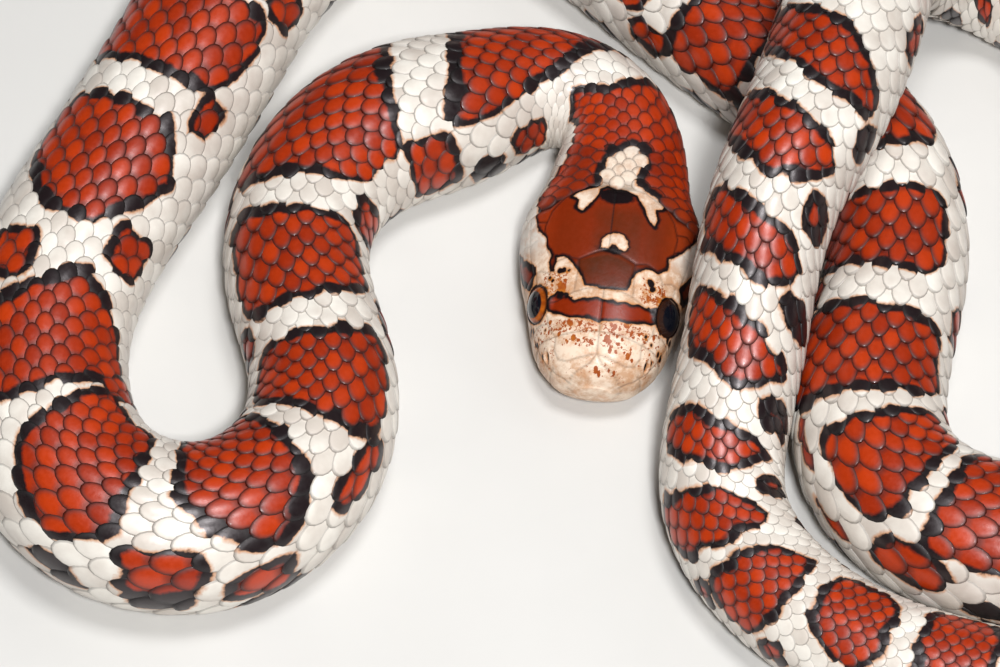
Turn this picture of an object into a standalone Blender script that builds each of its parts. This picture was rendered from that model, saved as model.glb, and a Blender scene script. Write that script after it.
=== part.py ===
"""A young eastern milk snake at life size, lying in loose coils on a flat floor.

The body is one long loft along a route on the floor, parted by thin cuts into the
head, lower jaw, eyes, neck, trunk lengths and tail. Close to the end of the trunk
the body climbs over an earlier length of itself and comes down beside it.
All sizes below are millimetres, and meshes are written in metres.
"""

import math

import bmesh
import bpy
import numpy as np
from mathutils import Vector
from mathutils.geometry import delaunay_2d_cdt

MM = 0.001

# The midline seen from above, from the snout to the tip of the tail: (x, y).
ROUTE = (
    (7.5, -4.1), (8.8, 7.0), (9.4, 12.0), (9.95, 16.4), (10.1, 20.0), (8.7, 23.6), (5.2, 25.6),
    (1.0, 25.0), (-3.8, 22.8), (-9.4, 20.6), (-15.0, 15.0), (-16.4, 6.0), (-14.2, -3.0),
    (-15.4, -11.6), (-22.6, -17.4), (-31.2, -15.4), (-36.3, -6.4), (-35.8, 4.8),
    (-30.9, 16.2), (-25.6, 27.5), (-19.8, 39.0), (-9.8, 46.8), (2.4, 46.0), (12.4, 37.4),
    (22.4, 27.6), (30.8, 18.6), (32.4, 9.0), (30.0, -2.0), (30.2, -12.8), (38.4, -18.8),
    (48.4, -17.6), (54.6, -8.8), (56.2, 3.6), (55.6, 16.4), (51.4, 29.0), (42.4, 37.6),
    (32.8, 35.0), (28.8, 25.3), (25.2, 14.6), (21.2, 5.6), (19.0, -4.4), (17.45, -14.0),
    (24.2, -24.8), (35.4, -30.0), (47.4, -31.8), (58.6, -28.8), (66.2, -20.2),
    (69.2, -8.6), (71.8, 3.0), (78.2, 13.0), (87.0, 20.0),
)
PLAN_CENTRE = (21.83, 8.96)

# Girth of the body: (distance from the snout, width, height).
GIRTH = (
    (0, 11.6, 9.0), (20.5, 11.5, 9.0), (26, 9.5, 8.8), (33, 9.9, 9.2), (42, 13.2, 11.4),
    (54, 12.8, 11.2), (72, 11.8, 10.8), (98, 13.9, 11.8), (120, 14.2, 12.0),
    (145, 14.4, 12.2), (175, 13.6, 11.8), (215, 11.3, 10.4), (240, 11.8, 10.6),
    (262, 12.8, 11.2), (310, 12.8, 11.2), (355, 12.4, 11.0), (378, 11.0, 10.8),
    (385, 10.2, 10.5), (393, 9.9, 10.1), (402, 9.9, 9.4), (414, 9.7, 8.4), (434, 9.3, 8.1),
    (460, 8.0, 7.2),
    (490, 5.2, 4.8), (508, 2.6, 2.4),
)
TAIL_TIP = (1.1, 1.0)

# Where the body lies over its own earlier length, and how it climbs and comes down.
CROSSING_AT = 369.5
CROSSING_LIFT = 11.3
CROSSING_TOP = 3.0
CLIMB_LENGTH = 27.0
DESCENT_LENGTH = 36.0

# Cuts that part the body, as distances from the snout.
NECK_START = 20.5
CUTS = (33, 47, 66, 84, 101, 119, 143, 167, 191, 215, 237, 257, 279, 304, 328, 349,
        367, 388, 408, 424)
VENT_AT = 441
TAIL_MIDDLE = 476
SEAM = 0.3
RING_SPACING = 4.0
RING_POINTS = 20
BELLY_SINK = 0.08
FLANK_POWER = 0.92
HEADING_REACH = 0.4
SLOPE_REACH = 0.5
SMOOTH_ANGLE = math.radians(45)

# Head, measured back from the snout: (distance, half width, top, underside).
HEAD_STATIONS = (
    (0.0, 1.6, 4.5, 2.4), (0.25, 2.6, 5.2, 1.9), (0.8, 3.5, 6.0, 1.3),
    (1.6, 4.2, 6.6, 0.75), (3.4, 5.2, 7.35, 0.2), (5.4, 5.8, 7.95, 0.0),
    (7.4, 6.3, 8.4, 0.0), (9.4, 6.9, 8.75, 0.0), (11.4, 7.3, 9.0, 0.0),
    (13.4, 7.5, 9.15, 0.0), (15.4, 7.35, 9.2, 0.0), (17.4, 6.9, 9.15, 0.0),
    (19.0, 6.3, 9.05, 0.0), (20.5, 5.75, 9.0, 0.0),
)
HEAD_WIDEST_SHARE = 0.40
CROWN_POWER = 2.5
THROAT_POWER = 2.3
MOUTH_LINE = ((0.0, 2.75), (3.5, 2.5), (7.0, 2.45), (10.0, 2.5), (13.0, 2.8), (16.0, 3.4))
MOUTH_CORNER = 15.6
JAW_START = 0.15
JAW_STEP = 0.08
HEAD_UPPER_POINTS = 29
HEAD_LOWER_POINTS = 12
HEAD_RINGS = 21
THROAT_RINGS = 5
SNOUT_CROWDING = 1.6

EYE_AT = 6.5
EYE_SIDE = 4.65
EYE_HEIGHT = 5.6
EYE_RADIUS = 1.5
NOSTRIL_AT = 1.9
NOSTRIL_HEIGHT = 4.7
NOSTRIL_RADIUS = 0.45

SHIELD_RISE = 0.2
SHIELD_SINK = 0.45
SHIELD_GAP = 0.09
SHIELD_STEP = 1.3
HEAD_RADIUS = 6
# Half outlines of the crown shields, on one side: (distance from snout, half breadth).
CROWN_SHIELDS = {
    "internasal": ((1.0, 0), (1.2, 1.9), (2.4, 2.9), (3.3, 2.5), (3.5, 0)),
    "prefrontal": ((3.5, 0), (3.3, 2.5), (3.7, 3.6), (5.9, 3.9), (6.8, 2.2), (7.0, 0)),
    "supraocular": ((5.9, 3.9), (6.8, 2.2), (9.5, 2.0), (9.9, 3.3), (8.2, 4.3)),
    "parietal": ((11.3, 0), (9.5, 2.0), (9.9, 3.3), (11.0, 4.6), (13.8, 4.5),
                 (16.2, 2.4), (15.9, 0)),
}
FRONTAL_SHIELD = ((7.0, 0), (6.8, 2.2), (9.5, 2.0), (11.3, 0))
LABIAL_BREAKS = (0.9, 2.7, 4.6, 6.4, 8.3, 10.6, 13.2, 15.4)
LABIAL_TOP = 2.0
LABIAL_LIFT = 0.28
LABIAL_UNDER_EYE = 0.1
BALL_MESH = (16, 10)
NOSTRIL_MESH = (10, 6)

RED = (0.42, 0.030, 0.008, 1)
CREAM = (0.72, 0.64, 0.55, 1)
CROWN_BROWN = (0.16, 0.022, 0.008, 1)
EYE_BLACK = (0.012, 0.010, 0.012, 1)
SCALE_ROUGHNESS = 0.35
LIP_ROUGHNESS = 0.4
EYE_ROUGHNESS = 0.08


def clear_scene():
    for thing in list(bpy.data.objects):
        bpy.data.objects.remove(thing, do_unlink=True)


def make_material(name, colour, roughness):
    material = bpy.data.materials.new(name)
    material.use_nodes = True
    shader = material.node_tree.nodes["Principled BSDF"]
    shader.inputs["Base Color"].default_value = colour
    shader.inputs["Roughness"].default_value = roughness
    shader.inputs["Metallic"].default_value = 0
    return material


def second_derivatives(knots, values):
    """Second derivatives of the natural cubic spline through values at knots."""
    count = len(knots)
    step = np.diff(knots)
    matrix = np.eye(count)
    right = np.zeros_like(values)
    for i in range(1, count - 1):
        matrix[i, i - 1:i + 2] = step[i - 1], 2 * (step[i - 1] + step[i]), step[i]
        rise_after = (values[i + 1] - values[i]) / step[i]
        rise_before = (values[i] - values[i - 1]) / step[i - 1]
        right[i] = 6 * (rise_after - rise_before)
    return np.linalg.solve(matrix, right)


class Spline:
    """A smooth curve through given values."""

    def __init__(self, knots, values):
        self.knots = np.array(knots, float)
        self.values = np.array(values, float)
        self.bend = second_derivatives(self.knots, self.values)

    def at(self, place):
        i = int(np.clip(np.searchsorted(self.knots, place) - 1, 0, len(self.knots) - 2))
        step = self.knots[i + 1] - self.knots[i]
        b = (place - self.knots[i]) / step
        a = 1 - b
        bulge = (a ** 3 - a) * self.bend[i] + (b ** 3 - b) * self.bend[i + 1]
        return a * self.values[i] + b * self.values[i + 1] + bulge * step ** 2 / 6


class Route:
    """The midline on the floor, read by distance from the snout."""

    SAMPLES = 40

    def __init__(self, points):
        points = np.array(points, float)
        chords = np.linalg.norm(np.diff(points, axis=0), axis=1)
        curve = Spline(np.concatenate(([0], np.cumsum(chords))), points)
        places = np.linspace(0, curve.knots[-1], self.SAMPLES * len(points))
        self.path = np.array([curve.at(place) for place in places])
        steps = np.linalg.norm(np.diff(self.path, axis=0), axis=1)
        self.run = np.concatenate(([0], np.cumsum(steps)))
        self.length = self.run[-1]

    def point(self, distance):
        return np.array([np.interp(distance, self.run, self.path[:, i]) for i in (0, 1)])

    def heading(self, distance):
        ahead = self.point(min(distance + HEADING_REACH, self.length))
        behind = self.point(max(distance - HEADING_REACH, 0))
        return (ahead - behind) / np.linalg.norm(ahead - behind)


def lift(distance):
    """Height of the belly above the floor."""
    past_top = abs(distance - CROSSING_AT) - CROSSING_TOP
    if past_top <= 0:
        return CROSSING_LIFT
    run = DESCENT_LENGTH if distance > CROSSING_AT else CLIMB_LENGTH
    share = min(past_top / run, 1)
    return CROSSING_LIFT * (0.5 + 0.5 * math.cos(math.pi * share))


def smooth_girth(length):
    stations = GIRTH + ((length, *TAIL_TIP),)
    knots = [station[0] for station in stations]
    return Spline(knots, [station[1:] for station in stations])


def section(width, height):
    """Outline of the body cut across, belly flat at height 0: (side, height) pairs."""
    outline = []
    for k in range(RING_POINTS):
        turn = 2 * math.pi * (k + 0.5) / RING_POINTS
        side = width / 2 * math.copysign(abs(math.sin(turn)) ** FLANK_POWER, math.sin(turn))
        middle = height * (0.5 - BELLY_SINK / 2)
        level = middle + height * (0.5 + BELLY_SINK / 2) * math.cos(turn)
        outline.append((side, max(level, 0)))
    return outline


def body_ring(route, girth, distance, shift=0.0):
    """One ring of the body, moved along the route by shift without turning it."""
    width, height = girth.at(distance)
    rise = (lift(distance + SLOPE_REACH) - lift(distance - SLOPE_REACH)) / (2 * SLOPE_REACH)
    stretch = math.hypot(1, rise)
    ahead = route.heading(distance)
    centre = route.point(distance) + ahead * shift
    belly = lift(distance) + rise * shift
    across = np.array([ahead[1], -ahead[0]])
    ring = []
    for side, level in section(width, height * stretch):
        x, y = centre + across * side
        ring.append((x, y, belly + level))
    return ring


def loft(name, rings, material, parts):
    """A closed solid through rings of equally many points."""
    shape = bmesh.new()
    rows = [[shape.verts.new(Vector(point) * MM) for point in ring] for ring in rings]
    for row, after in zip(rows, rows[1:]):
        for k in range(len(row)):
            left = (k + 1) % len(row)
            shape.faces.new((row[k], row[left], after[left], after[k]))
    shape.faces.new(rows[0][::-1])
    shape.faces.new(rows[-1])
    bmesh.ops.recalc_face_normals(shape, faces=shape.faces)
    mesh = bpy.data.meshes.new(name)
    shape.to_mesh(mesh)
    shape.free()
    mesh.shade_smooth()
    mesh.set_sharp_from_angle(angle=SMOOTH_ANGLE)
    mesh.materials.append(material)
    thing = bpy.data.objects.new(name, mesh)
    parts.objects.link(thing)
    return thing


def body_length(name, route, girth, start, end, material, parts):
    count = max(3, round((end - start) / RING_SPACING) + 1)
    rings = []
    for distance in np.linspace(start, end, count):
        shift = 0
        if distance == start:
            shift = SEAM / 2
        elif distance == end < route.length:
            shift = -SEAM / 2
        rings.append(body_ring(route, girth, distance, shift))
    thing = loft(name, rings, material, parts)
    thing.location = (-PLAN_CENTRE[0] * MM, -PLAN_CENTRE[1] * MM, 0)
    return thing


HEAD_SHAPE = Spline([s[0] for s in HEAD_STATIONS], [s[1:] for s in HEAD_STATIONS])
MOUTH_SHAPE = Spline([s[0] for s in MOUTH_LINE], [s[1] for s in MOUTH_LINE])


def head_point(distance, turn):
    """A point of the head's surface: turn is 0 on the crown and pi under the throat."""
    half_width, top, underside = HEAD_SHAPE.at(distance)
    widest = underside + HEAD_WIDEST_SHARE * (top - underside)
    crown = math.cos(turn) >= 0
    power = 2 / (CROWN_POWER if crown else THROAT_POWER)
    side = half_width * math.copysign(abs(math.sin(turn)) ** power, math.sin(turn))
    reach = (top - widest) if crown else (underside - widest)
    return Vector((side, distance, widest + reach * abs(math.cos(turn)) ** power))


def head_normal(distance, turn, step=0.02):
    along = head_point(distance + step, turn) - head_point(distance - step, turn)
    around = head_point(distance, turn + step) - head_point(distance, turn - step)
    return around.cross(along).normalized()


def turn_at_height(distance, height):
    """The turn at which the head's side has this height."""
    _, top, underside = HEAD_SHAPE.at(distance)
    widest = underside + HEAD_WIDEST_SHARE * (top - underside)
    if height >= widest:
        share = (height - widest) / (top - widest)
        return math.acos(min(share, 1) ** (CROWN_POWER / 2))
    share = (widest - height) / (widest - underside)
    return math.pi - math.acos(min(share, 1) ** (THROAT_POWER / 2))


def turn_at_side(distance, side):
    """The turn at which the crown is this far from the head's midline."""
    half_width = HEAD_SHAPE.at(distance)[0]
    share = min(abs(side) / half_width, 1)
    return math.copysign(math.asin(share ** (CROWN_POWER / 2)), side)


def head_ring(distance, open_mouth):
    """Upper head's ring: its lower path is the palate, or the throat behind the mouth."""
    edge = turn_at_height(distance, MOUTH_SHAPE.at(distance) + SEAM / 2)
    ring = [head_point(distance, turn) for turn in np.linspace(-edge, edge, HEAD_UPPER_POINTS)]
    first, last = ring[0], ring[-1]
    shares = np.linspace(0, 1, HEAD_LOWER_POINTS + 2)[1:-1]
    for share in shares:
        if open_mouth:
            ring.append(last.lerp(first, share))
        else:
            ring.append(head_point(distance, edge + share * (2 * math.pi - 2 * edge)))
    return ring


def jaw_ring(distance):
    level = MOUTH_SHAPE.at(distance) - SEAM / 2
    edge = turn_at_height(distance, level)
    turns = np.linspace(edge, 2 * math.pi - edge, HEAD_LOWER_POINTS + 2)
    return [head_point(distance, turn) for turn in turns]


def head_distances(start, end):
    """Stations along the head, close together at the blunt snout."""
    shares = np.linspace(0, 1, HEAD_RINGS) ** SNOUT_CROWDING
    return start + (end - start) * shares


def make_shell(name, outline, parts):
    """A thin closed plate over a patch of the head, outline given as (distance, turn)."""
    centre = np.mean(outline, axis=0)
    edge = []
    for near, far in zip(outline, outline[1:] + outline[:1]):
        gap = (head_point(*far) - head_point(*near)).length
        pieces = max(1, round(gap / SHIELD_STEP))
        for k in range(pieces):
            edge.append(np.array(near) + (np.array(far) - np.array(near)) * k / pieces)
    middle = head_point(*centre)
    inset = [point + (centre - point) * SHIELD_GAP / (head_point(*point) - middle).length
             for point in edge]
    inner = [centre] + [(point + centre) / 2 for point in inset[::2]]
    flat = [Vector((point[0], point[1] * HEAD_RADIUS)) for point in inset + inner]
    loop = [(k, (k + 1) % len(inset)) for k in range(len(inset))]
    points, _, faces, *_ = delaunay_2d_cdt(flat, loop, [], 1, 1e-5)
    shape = bmesh.new()
    top, bottom = [], []
    for point in points:
        place = (point.x, point.y / HEAD_RADIUS)
        spot, out = head_point(*place), head_normal(*place)
        top.append(shape.verts.new((spot + out * SHIELD_RISE) * MM))
        bottom.append(shape.verts.new((spot - out * SHIELD_SINK) * MM))
    uses = {}
    for face in faces:
        shape.faces.new([top[k] for k in face])
        shape.faces.new([bottom[k] for k in reversed(face)])
        for pair in zip(face, face[1:] + face[:1]):
            uses[frozenset(pair)] = pair if frozenset(pair) not in uses else None
    for pair in uses.values():
        if pair:
            shape.faces.new((top[pair[1]], top[pair[0]], bottom[pair[0]], bottom[pair[1]]))
    bmesh.ops.recalc_face_normals(shape, faces=shape.faces)
    mesh = bpy.data.meshes.new(name)
    shape.to_mesh(mesh)
    shape.free()
    thing = bpy.data.objects.new(name, mesh)
    parts.objects.link(thing)
    return thing


def add_shields(forms):
    """The large shields of the crown and the upper lip, as thin raised plates."""
    for name, half in CROWN_SHIELDS.items():
        for side in (-1, 1):
            outline = [(d, turn_at_side(d, side * breadth)) for d, breadth in half]
            make_shell(name, outline, forms)
    mirrored = FRONTAL_SHIELD + tuple((d, -b) for d, b in FRONTAL_SHIELD[-2:0:-1])
    make_shell("frontal", [(d, turn_at_side(d, b)) for d, b in mirrored], forms)
    for front, rear in zip(LABIAL_BREAKS, LABIAL_BREAKS[1:]):
        for side in (-1, 1):
            outline = []
            for distance, rise in ((front, 0), (rear, 0), (rear, 1), (front, 1)):
                above = LABIAL_LIFT + rise * (LABIAL_TOP - LABIAL_LIFT)
                level = min(MOUTH_SHAPE.at(distance) + above,
                            EYE_HEIGHT - EYE_RADIUS + LABIAL_UNDER_EYE)
                outline.append((distance, side * turn_at_height(distance, level)))
            make_shell("labial", outline, forms)


def add_ball(name, radius, place, holder, mesh_size=BALL_MESH):
    shape = bmesh.new()
    segments, rings = mesh_size
    bmesh.ops.create_uvsphere(shape, u_segments=segments, v_segments=rings, radius=radius * MM)
    mesh = bpy.data.meshes.new(name)
    shape.to_mesh(mesh)
    shape.free()
    mesh.shade_smooth()
    thing = bpy.data.objects.new(name, mesh)
    thing.location = Vector(place) * MM
    holder.objects.link(thing)
    return thing


def cut_or_join(thing, forms, operation):
    """Apply a Boolean of the forms on the thing, then remove the forms."""
    tool = thing.modifiers.new(operation.lower(), "BOOLEAN")
    tool.operation = operation
    tool.operand_type = "COLLECTION"
    tool.collection = forms
    tool.solver = "EXACT"
    bpy.context.view_layer.update()
    seen = thing.evaluated_get(bpy.context.evaluated_depsgraph_get())
    mesh = bpy.data.meshes.new_from_object(seen)
    thing.modifiers.clear()
    thing.data = mesh
    for form in list(forms.objects):
        bpy.data.objects.remove(form, do_unlink=True)
    keep_largest(mesh)


def keep_largest(mesh):
    """Keep only the closed surface with the most faces."""
    shape = bmesh.new()
    shape.from_mesh(mesh)
    left = set(shape.faces)
    islands = []
    while left:
        island, front = set(), [left.pop()]
        while front:
            face = front.pop()
            island.add(face)
            for edge in face.edges:
                for other in edge.link_faces:
                    if other in left:
                        left.remove(other)
                        front.append(other)
        islands.append(island)
    biggest = max(islands, key=len)
    loose = [face for face in shape.faces if face not in biggest]
    bmesh.ops.delete(shape, geom=loose, context="FACES")
    shape.to_mesh(mesh)
    shape.free()


def new_collection(name):
    holder = bpy.data.collections.new(name)
    bpy.context.scene.collection.children.link(holder)
    return holder


def set_on_head(thing, route, place=(0, 0, 0)):
    """Place a piece given in the head's own frame, whose origin is under the snout."""
    ahead = route.heading(NECK_START)
    across = np.array([ahead[1], -ahead[0]])
    spot = route.point(NECK_START) + ahead * (place[1] - NECK_START) + across * place[0]
    spot -= PLAN_CENTRE
    thing.rotation_euler = (0, 0, math.atan2(-ahead[0], ahead[1]))
    thing.location = (spot[0] * MM, spot[1] * MM, place[2] * MM)


def build_head(route, parts, forms, crown, lip):
    places = list(head_distances(0, MOUTH_CORNER))
    rings = [head_ring(place, True) for place in places]
    behind = np.linspace(MOUTH_CORNER + JAW_STEP, NECK_START - SEAM / 2, THROAT_RINGS)
    rings += [head_ring(place, False) for place in behind]
    head = loft("head", rings, crown, parts)
    add_shields(forms)
    cut_or_join(head, forms, "UNION")
    for side in (-1, 1):
        place = (side * EYE_SIDE, EYE_AT, EYE_HEIGHT)
        add_ball("socket", EYE_RADIUS + SEAM, place, forms)
        nostril = head_point(NOSTRIL_AT, side * turn_at_height(NOSTRIL_AT, NOSTRIL_HEIGHT))
        add_ball("nostril", NOSTRIL_RADIUS, nostril, forms, NOSTRIL_MESH)
    cut_or_join(head, forms, "DIFFERENCE")
    head.data.materials.clear()
    head.data.materials.append(crown)
    set_on_head(head, route)
    jaw_places = head_distances(JAW_START, MOUTH_CORNER - SEAM)
    jaw = loft("lower_jaw", [jaw_ring(place) for place in jaw_places], lip, parts)
    set_on_head(jaw, route)


def build_eyes(route, parts, eye):
    for name, side in (("eye_left", 1), ("eye_right", -1)):
        ball = add_ball(name, EYE_RADIUS, (0, 0, 0), parts)
        ball.data.materials.append(eye)
        set_on_head(ball, route, (side * EYE_SIDE, EYE_AT, EYE_HEIGHT))


def build_body(route, parts, red):
    girth = smooth_girth(route.length)
    ends = (NECK_START,) + CUTS + (VENT_AT,)
    names = ["neck"] + [f"trunk_{k:02d}" for k in range(1, len(ends) - 1)]
    for name, start, end in zip(names, ends, ends[1:]):
        body_length(name, route, girth, start, end, red, parts)
    body_length("tail_base", route, girth, VENT_AT, TAIL_MIDDLE, red, parts)
    body_length("tail_tip", route, girth, TAIL_MIDDLE, route.length, red, parts)


def main():
    clear_scene()
    parts = new_collection("milk_snake")
    forms = new_collection("forms")
    route = Route(ROUTE)
    red = make_material("saddle_red", RED, SCALE_ROUGHNESS)
    cream = make_material("lip_cream", CREAM, LIP_ROUGHNESS)
    crown = make_material("crown_brown", CROWN_BROWN, SCALE_ROUGHNESS)
    eye = make_material("eye_black", EYE_BLACK, EYE_ROUGHNESS)
    build_head(route, parts, forms, crown, cream)
    build_eyes(route, parts, eye)
    build_body(route, parts, red)
    bpy.data.collections.remove(forms)


main()
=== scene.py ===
import math

import bpy
import numpy as np
from mathutils import Euler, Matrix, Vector
from mathutils.kdtree import KDTree


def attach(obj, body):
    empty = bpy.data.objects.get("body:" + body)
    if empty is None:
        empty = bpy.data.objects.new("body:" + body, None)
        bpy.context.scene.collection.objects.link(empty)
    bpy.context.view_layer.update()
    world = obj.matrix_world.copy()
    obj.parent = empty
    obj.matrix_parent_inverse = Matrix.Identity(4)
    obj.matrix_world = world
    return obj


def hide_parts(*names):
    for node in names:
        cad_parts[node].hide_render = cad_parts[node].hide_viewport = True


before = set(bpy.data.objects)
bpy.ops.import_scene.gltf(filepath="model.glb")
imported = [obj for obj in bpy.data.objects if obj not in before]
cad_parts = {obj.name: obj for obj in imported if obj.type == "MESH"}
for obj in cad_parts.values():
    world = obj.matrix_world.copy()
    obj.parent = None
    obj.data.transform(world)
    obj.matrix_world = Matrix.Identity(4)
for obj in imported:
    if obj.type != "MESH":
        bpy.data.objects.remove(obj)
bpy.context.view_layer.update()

# The shape, in millimetres: the route of the midline, the girth along it and the head's
# stations are those of the solids.
MM = 0.001
ROUTE = (
    (7.5, -4.1), (8.8, 7.0), (9.4, 12.0), (9.95, 16.4), (10.1, 20.0), (8.7, 23.6), (5.2, 25.6),
    (1.0, 25.0), (-3.8, 22.8), (-9.4, 20.6), (-15.0, 15.0), (-16.4, 6.0), (-14.2, -3.0),
    (-15.4, -11.6), (-22.6, -17.4), (-31.2, -15.4), (-36.3, -6.4), (-35.8, 4.8),
    (-30.9, 16.2), (-25.6, 27.5), (-19.8, 39.0), (-9.8, 46.8), (2.4, 46.0), (12.4, 37.4),
    (22.4, 27.6), (30.8, 18.6), (32.4, 9.0), (30.0, -2.0), (30.2, -12.8), (38.4, -18.8),
    (48.4, -17.6), (54.6, -8.8), (56.2, 3.6), (55.6, 16.4), (51.4, 29.0), (42.4, 37.6),
    (32.8, 35.0), (28.8, 25.3), (25.2, 14.6), (21.2, 5.6), (19.0, -4.4), (17.45, -14.0),
    (24.2, -24.8), (35.4, -30.0), (47.4, -31.8), (58.6, -28.8), (66.2, -20.2),
    (69.2, -8.6), (71.8, 3.0), (78.2, 13.0), (87.0, 20.0),
)
PLAN_CENTRE = (21.83, 8.96)
GIRTH = (
    # distance, width, height
    (0, 11.6, 9.0), (20.5, 11.5, 9.0), (26, 9.5, 8.8), (33, 9.9, 9.2), (42, 13.2, 11.4),
    (54, 12.8, 11.2), (72, 11.8, 10.8), (98, 13.9, 11.8), (120, 14.2, 12.0),
    (145, 14.4, 12.2), (175, 13.6, 11.8), (215, 11.3, 10.4), (240, 11.8, 10.6),
    (262, 12.8, 11.2), (310, 12.8, 11.2), (355, 12.4, 11.0), (378, 11.0, 10.8),
    (385, 10.2, 10.5), (393, 9.9, 10.1), (402, 9.9, 9.4), (414, 9.7, 8.4), (434, 9.3, 8.1),
    (460, 8.0, 7.2), (490, 5.2, 4.8), (508, 2.6, 2.4),
)
TAIL_TIP = (1.1, 1.0)
CROSSING_AT = 369.5
CROSSING_LIFT = 11.3
CROSSING_TOP = 3.0
CLIMB_LENGTH = 27.0
DESCENT_LENGTH = 36.0
NECK_START = 20.5
BELLY_SINK = 0.08
FLANK_POWER = 0.92
HEADING_REACH = 0.4
SLOPE_REACH = 0.5
HEAD_STATIONS = (
    # distance, half width, top, underside
    (0.0, 1.6, 4.5, 2.4), (0.25, 2.6, 5.2, 1.9), (0.8, 3.5, 6.0, 1.3),
    (1.6, 4.2, 6.6, 0.75), (3.4, 5.2, 7.35, 0.2), (5.4, 5.8, 7.95, 0.0),
    (7.4, 6.3, 8.4, 0.0), (9.4, 6.9, 8.75, 0.0), (11.4, 7.3, 9.0, 0.0),
    (13.4, 7.5, 9.15, 0.0), (15.4, 7.35, 9.2, 0.0), (17.4, 6.9, 9.15, 0.0),
    (19.0, 6.3, 9.05, 0.0), (20.5, 5.75, 9.0, 0.0),
)
HEAD_WIDEST_SHARE = 0.40
CROWN_POWER = 2.5
THROAT_POWER = 2.3
MOUTH_LINE = ((0.0, 2.75), (3.5, 2.5), (7.0, 2.45), (10.0, 2.5), (13.0, 2.8), (16.0, 3.4))
MOUTH_SHARE = 0.62
BLEND_START = 14.5
BLEND_END = 20.5
SNOUT_CAP = 1.0
SNOUT_BULGE = 0.2
SNOUT_LEVEL = 2.85
ROLL = ((0, 0), (360, 0), (375, 4), (388, 14), (402, 14), (414, 4), (426, 0), (520, 0))

# The skin and the scales
TABLE_SPACINGS = (0.04, 0.1, 0.3)
HEAD_TABLE_END = 30.0
HEAD_SKIN_END = 22.0
HEAD_SKIN_SPACING = 0.1
CAP_SKIN_STEPS = 34
HEAD_SKIN_TURNS = 300
BODY_SKIN_SPACING = 0.6
SKIN_TURNS_SHARE = 4
SKIN_DEPTH = 0.30
SKIN_SLIM = 0.12
SKIN_FLOOR = 0.01
SKIN_TIP = 0.5
SKIN_STEP = 0.5
# SKIN_RIM: painted shade, darkening the skin where it sinks under the scales
SKIN_RIM = 0.8
CAP_REACH = 0.985
PITCH = (
    # distance, millimetres from one scale to the next
    (0, 1.1), (16, 1.15), (24, 1.45), (33, 1.75), (45, 2.1), (65, 2.15), (78, 1.9), (90, 2.1),
    (117, 2.1), (134, 2.35), (150, 2.5), (215, 2.5), (236, 2.7), (250, 2.25), (300, 2.3),
    (350, 2.1), (380, 1.9), (392, 1.8), (402, 1.4), (412, 1.25), (440, 1.15), (480, 0.95),
    (512, 0.6),
)
ROW_STEP = (
    # distance, share from one row to the next
    (0, 0.056), (40, 0.055), (52, 0.052), (65, 0.054), (78, 0.050), (103, 0.047), (120, 0.046),
    (150, 0.048), (215, 0.055), (236, 0.060), (250, 0.054), (350, 0.054), (400, 0.051),
    (420, 0.051), (440, 0.058), (470, 0.080), (512, 0.150),
)
ROW_GROWTH = 0.0023
ROW_GROWTH_SHARE = 0.06
ROWS = 11
PITCH_FROM = 8.0
PITCH_GRAIN = 0.2
ROW_LIMIT = 0.745
PITCH_USUAL = 2.0
SCALE_HALF_LENGTH = 0.58
SCALE_HALF_WIDTH = 0.77
SCALE_ROUNDNESS = 1.95
SCALE_TILT = 0.22
SCALE_DOME = 0.09
SCALE_PROFILE = (
    # ring's reach, drop, rim; the rim darkens a scale towards its edge, partly its dark edge and
    # partly painted shade
    (0.35, 0.0, 0.0), (0.62, 0.0, 0.12), (0.82, 0.004, 0.6), (0.93, 0.018, 0.95), (1.0, 0.06, 1.0),
)
# SCALE_FRONT_SHADE and SCALE_FRONT: painted shadow on each scale's front, where it comes out from
# under the one before
SCALE_FRONT_SHADE = 0.75
SCALE_FRONT = (0.30, 0.75)
SCALE_TIP = 0.80
SCALE_TIP_SIDES = (0.12, 0.38)
SCALE_SEGMENTS = 16
SCALE_HOLD = 0.72
SCALE_RAGGED = 0.13
SCALE_VARIES = (0.97, 1.03)
SCALE_LIFTS = (-0.012, 0.012)
SCALE_ROOT = 0.04
SCALE_CLEAR = 0.06
SCALE_LEAD = 0.35
SQUEEZE_REACH = 0.3
SQUEEZE_LEAST = 0.3
TAIL_CAP = 3
COAT_CUTS = (0, 75, 145, 215, 290, 365, 420, 460, 520)
BELLY_SHARE = 0.76
BELLY_LAP = 0.015
BELLY_FROM = 11.5
BELLY_STEPS = 24
BELLY_EDGE = 0.06
BELLY_ROUNDED = 0.25
BELLY_ROUND_POWER = 8
BELLY_SIDE_DROP = (0.9, 1.0)
# BELLY_SIDE_RIM: the plates darkened at their sides, partly dark edges, partly painted shade
BELLY_SIDE_RIM = (0.94, 1)
BELLY_PROFILE = (
    # along in half lengths, drop (root below 0), rim: partly the plate's dark edge, partly painted
    # shade
    (-1.0, -1.0, 1.0), (-1.0, 0.0, 0.0), (-0.5, 0.0, 0.0), (0.1, 0.0, 0.0), (0.6, 0.0, 0.0),
    (0.86, 0.01, 0.0), (0.96, 0.03, 0.4), (1.0, 0.06, 1.0), (1.0, -1.0, 1.0),
)
BELLY_ROOT_SHARE = 0.98
UV_STRIP = 128.0
UV_PATCH = 0.0015
UV_MARGIN = 0.02
UV_SIDE = 0.46
SEED = 11


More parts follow.
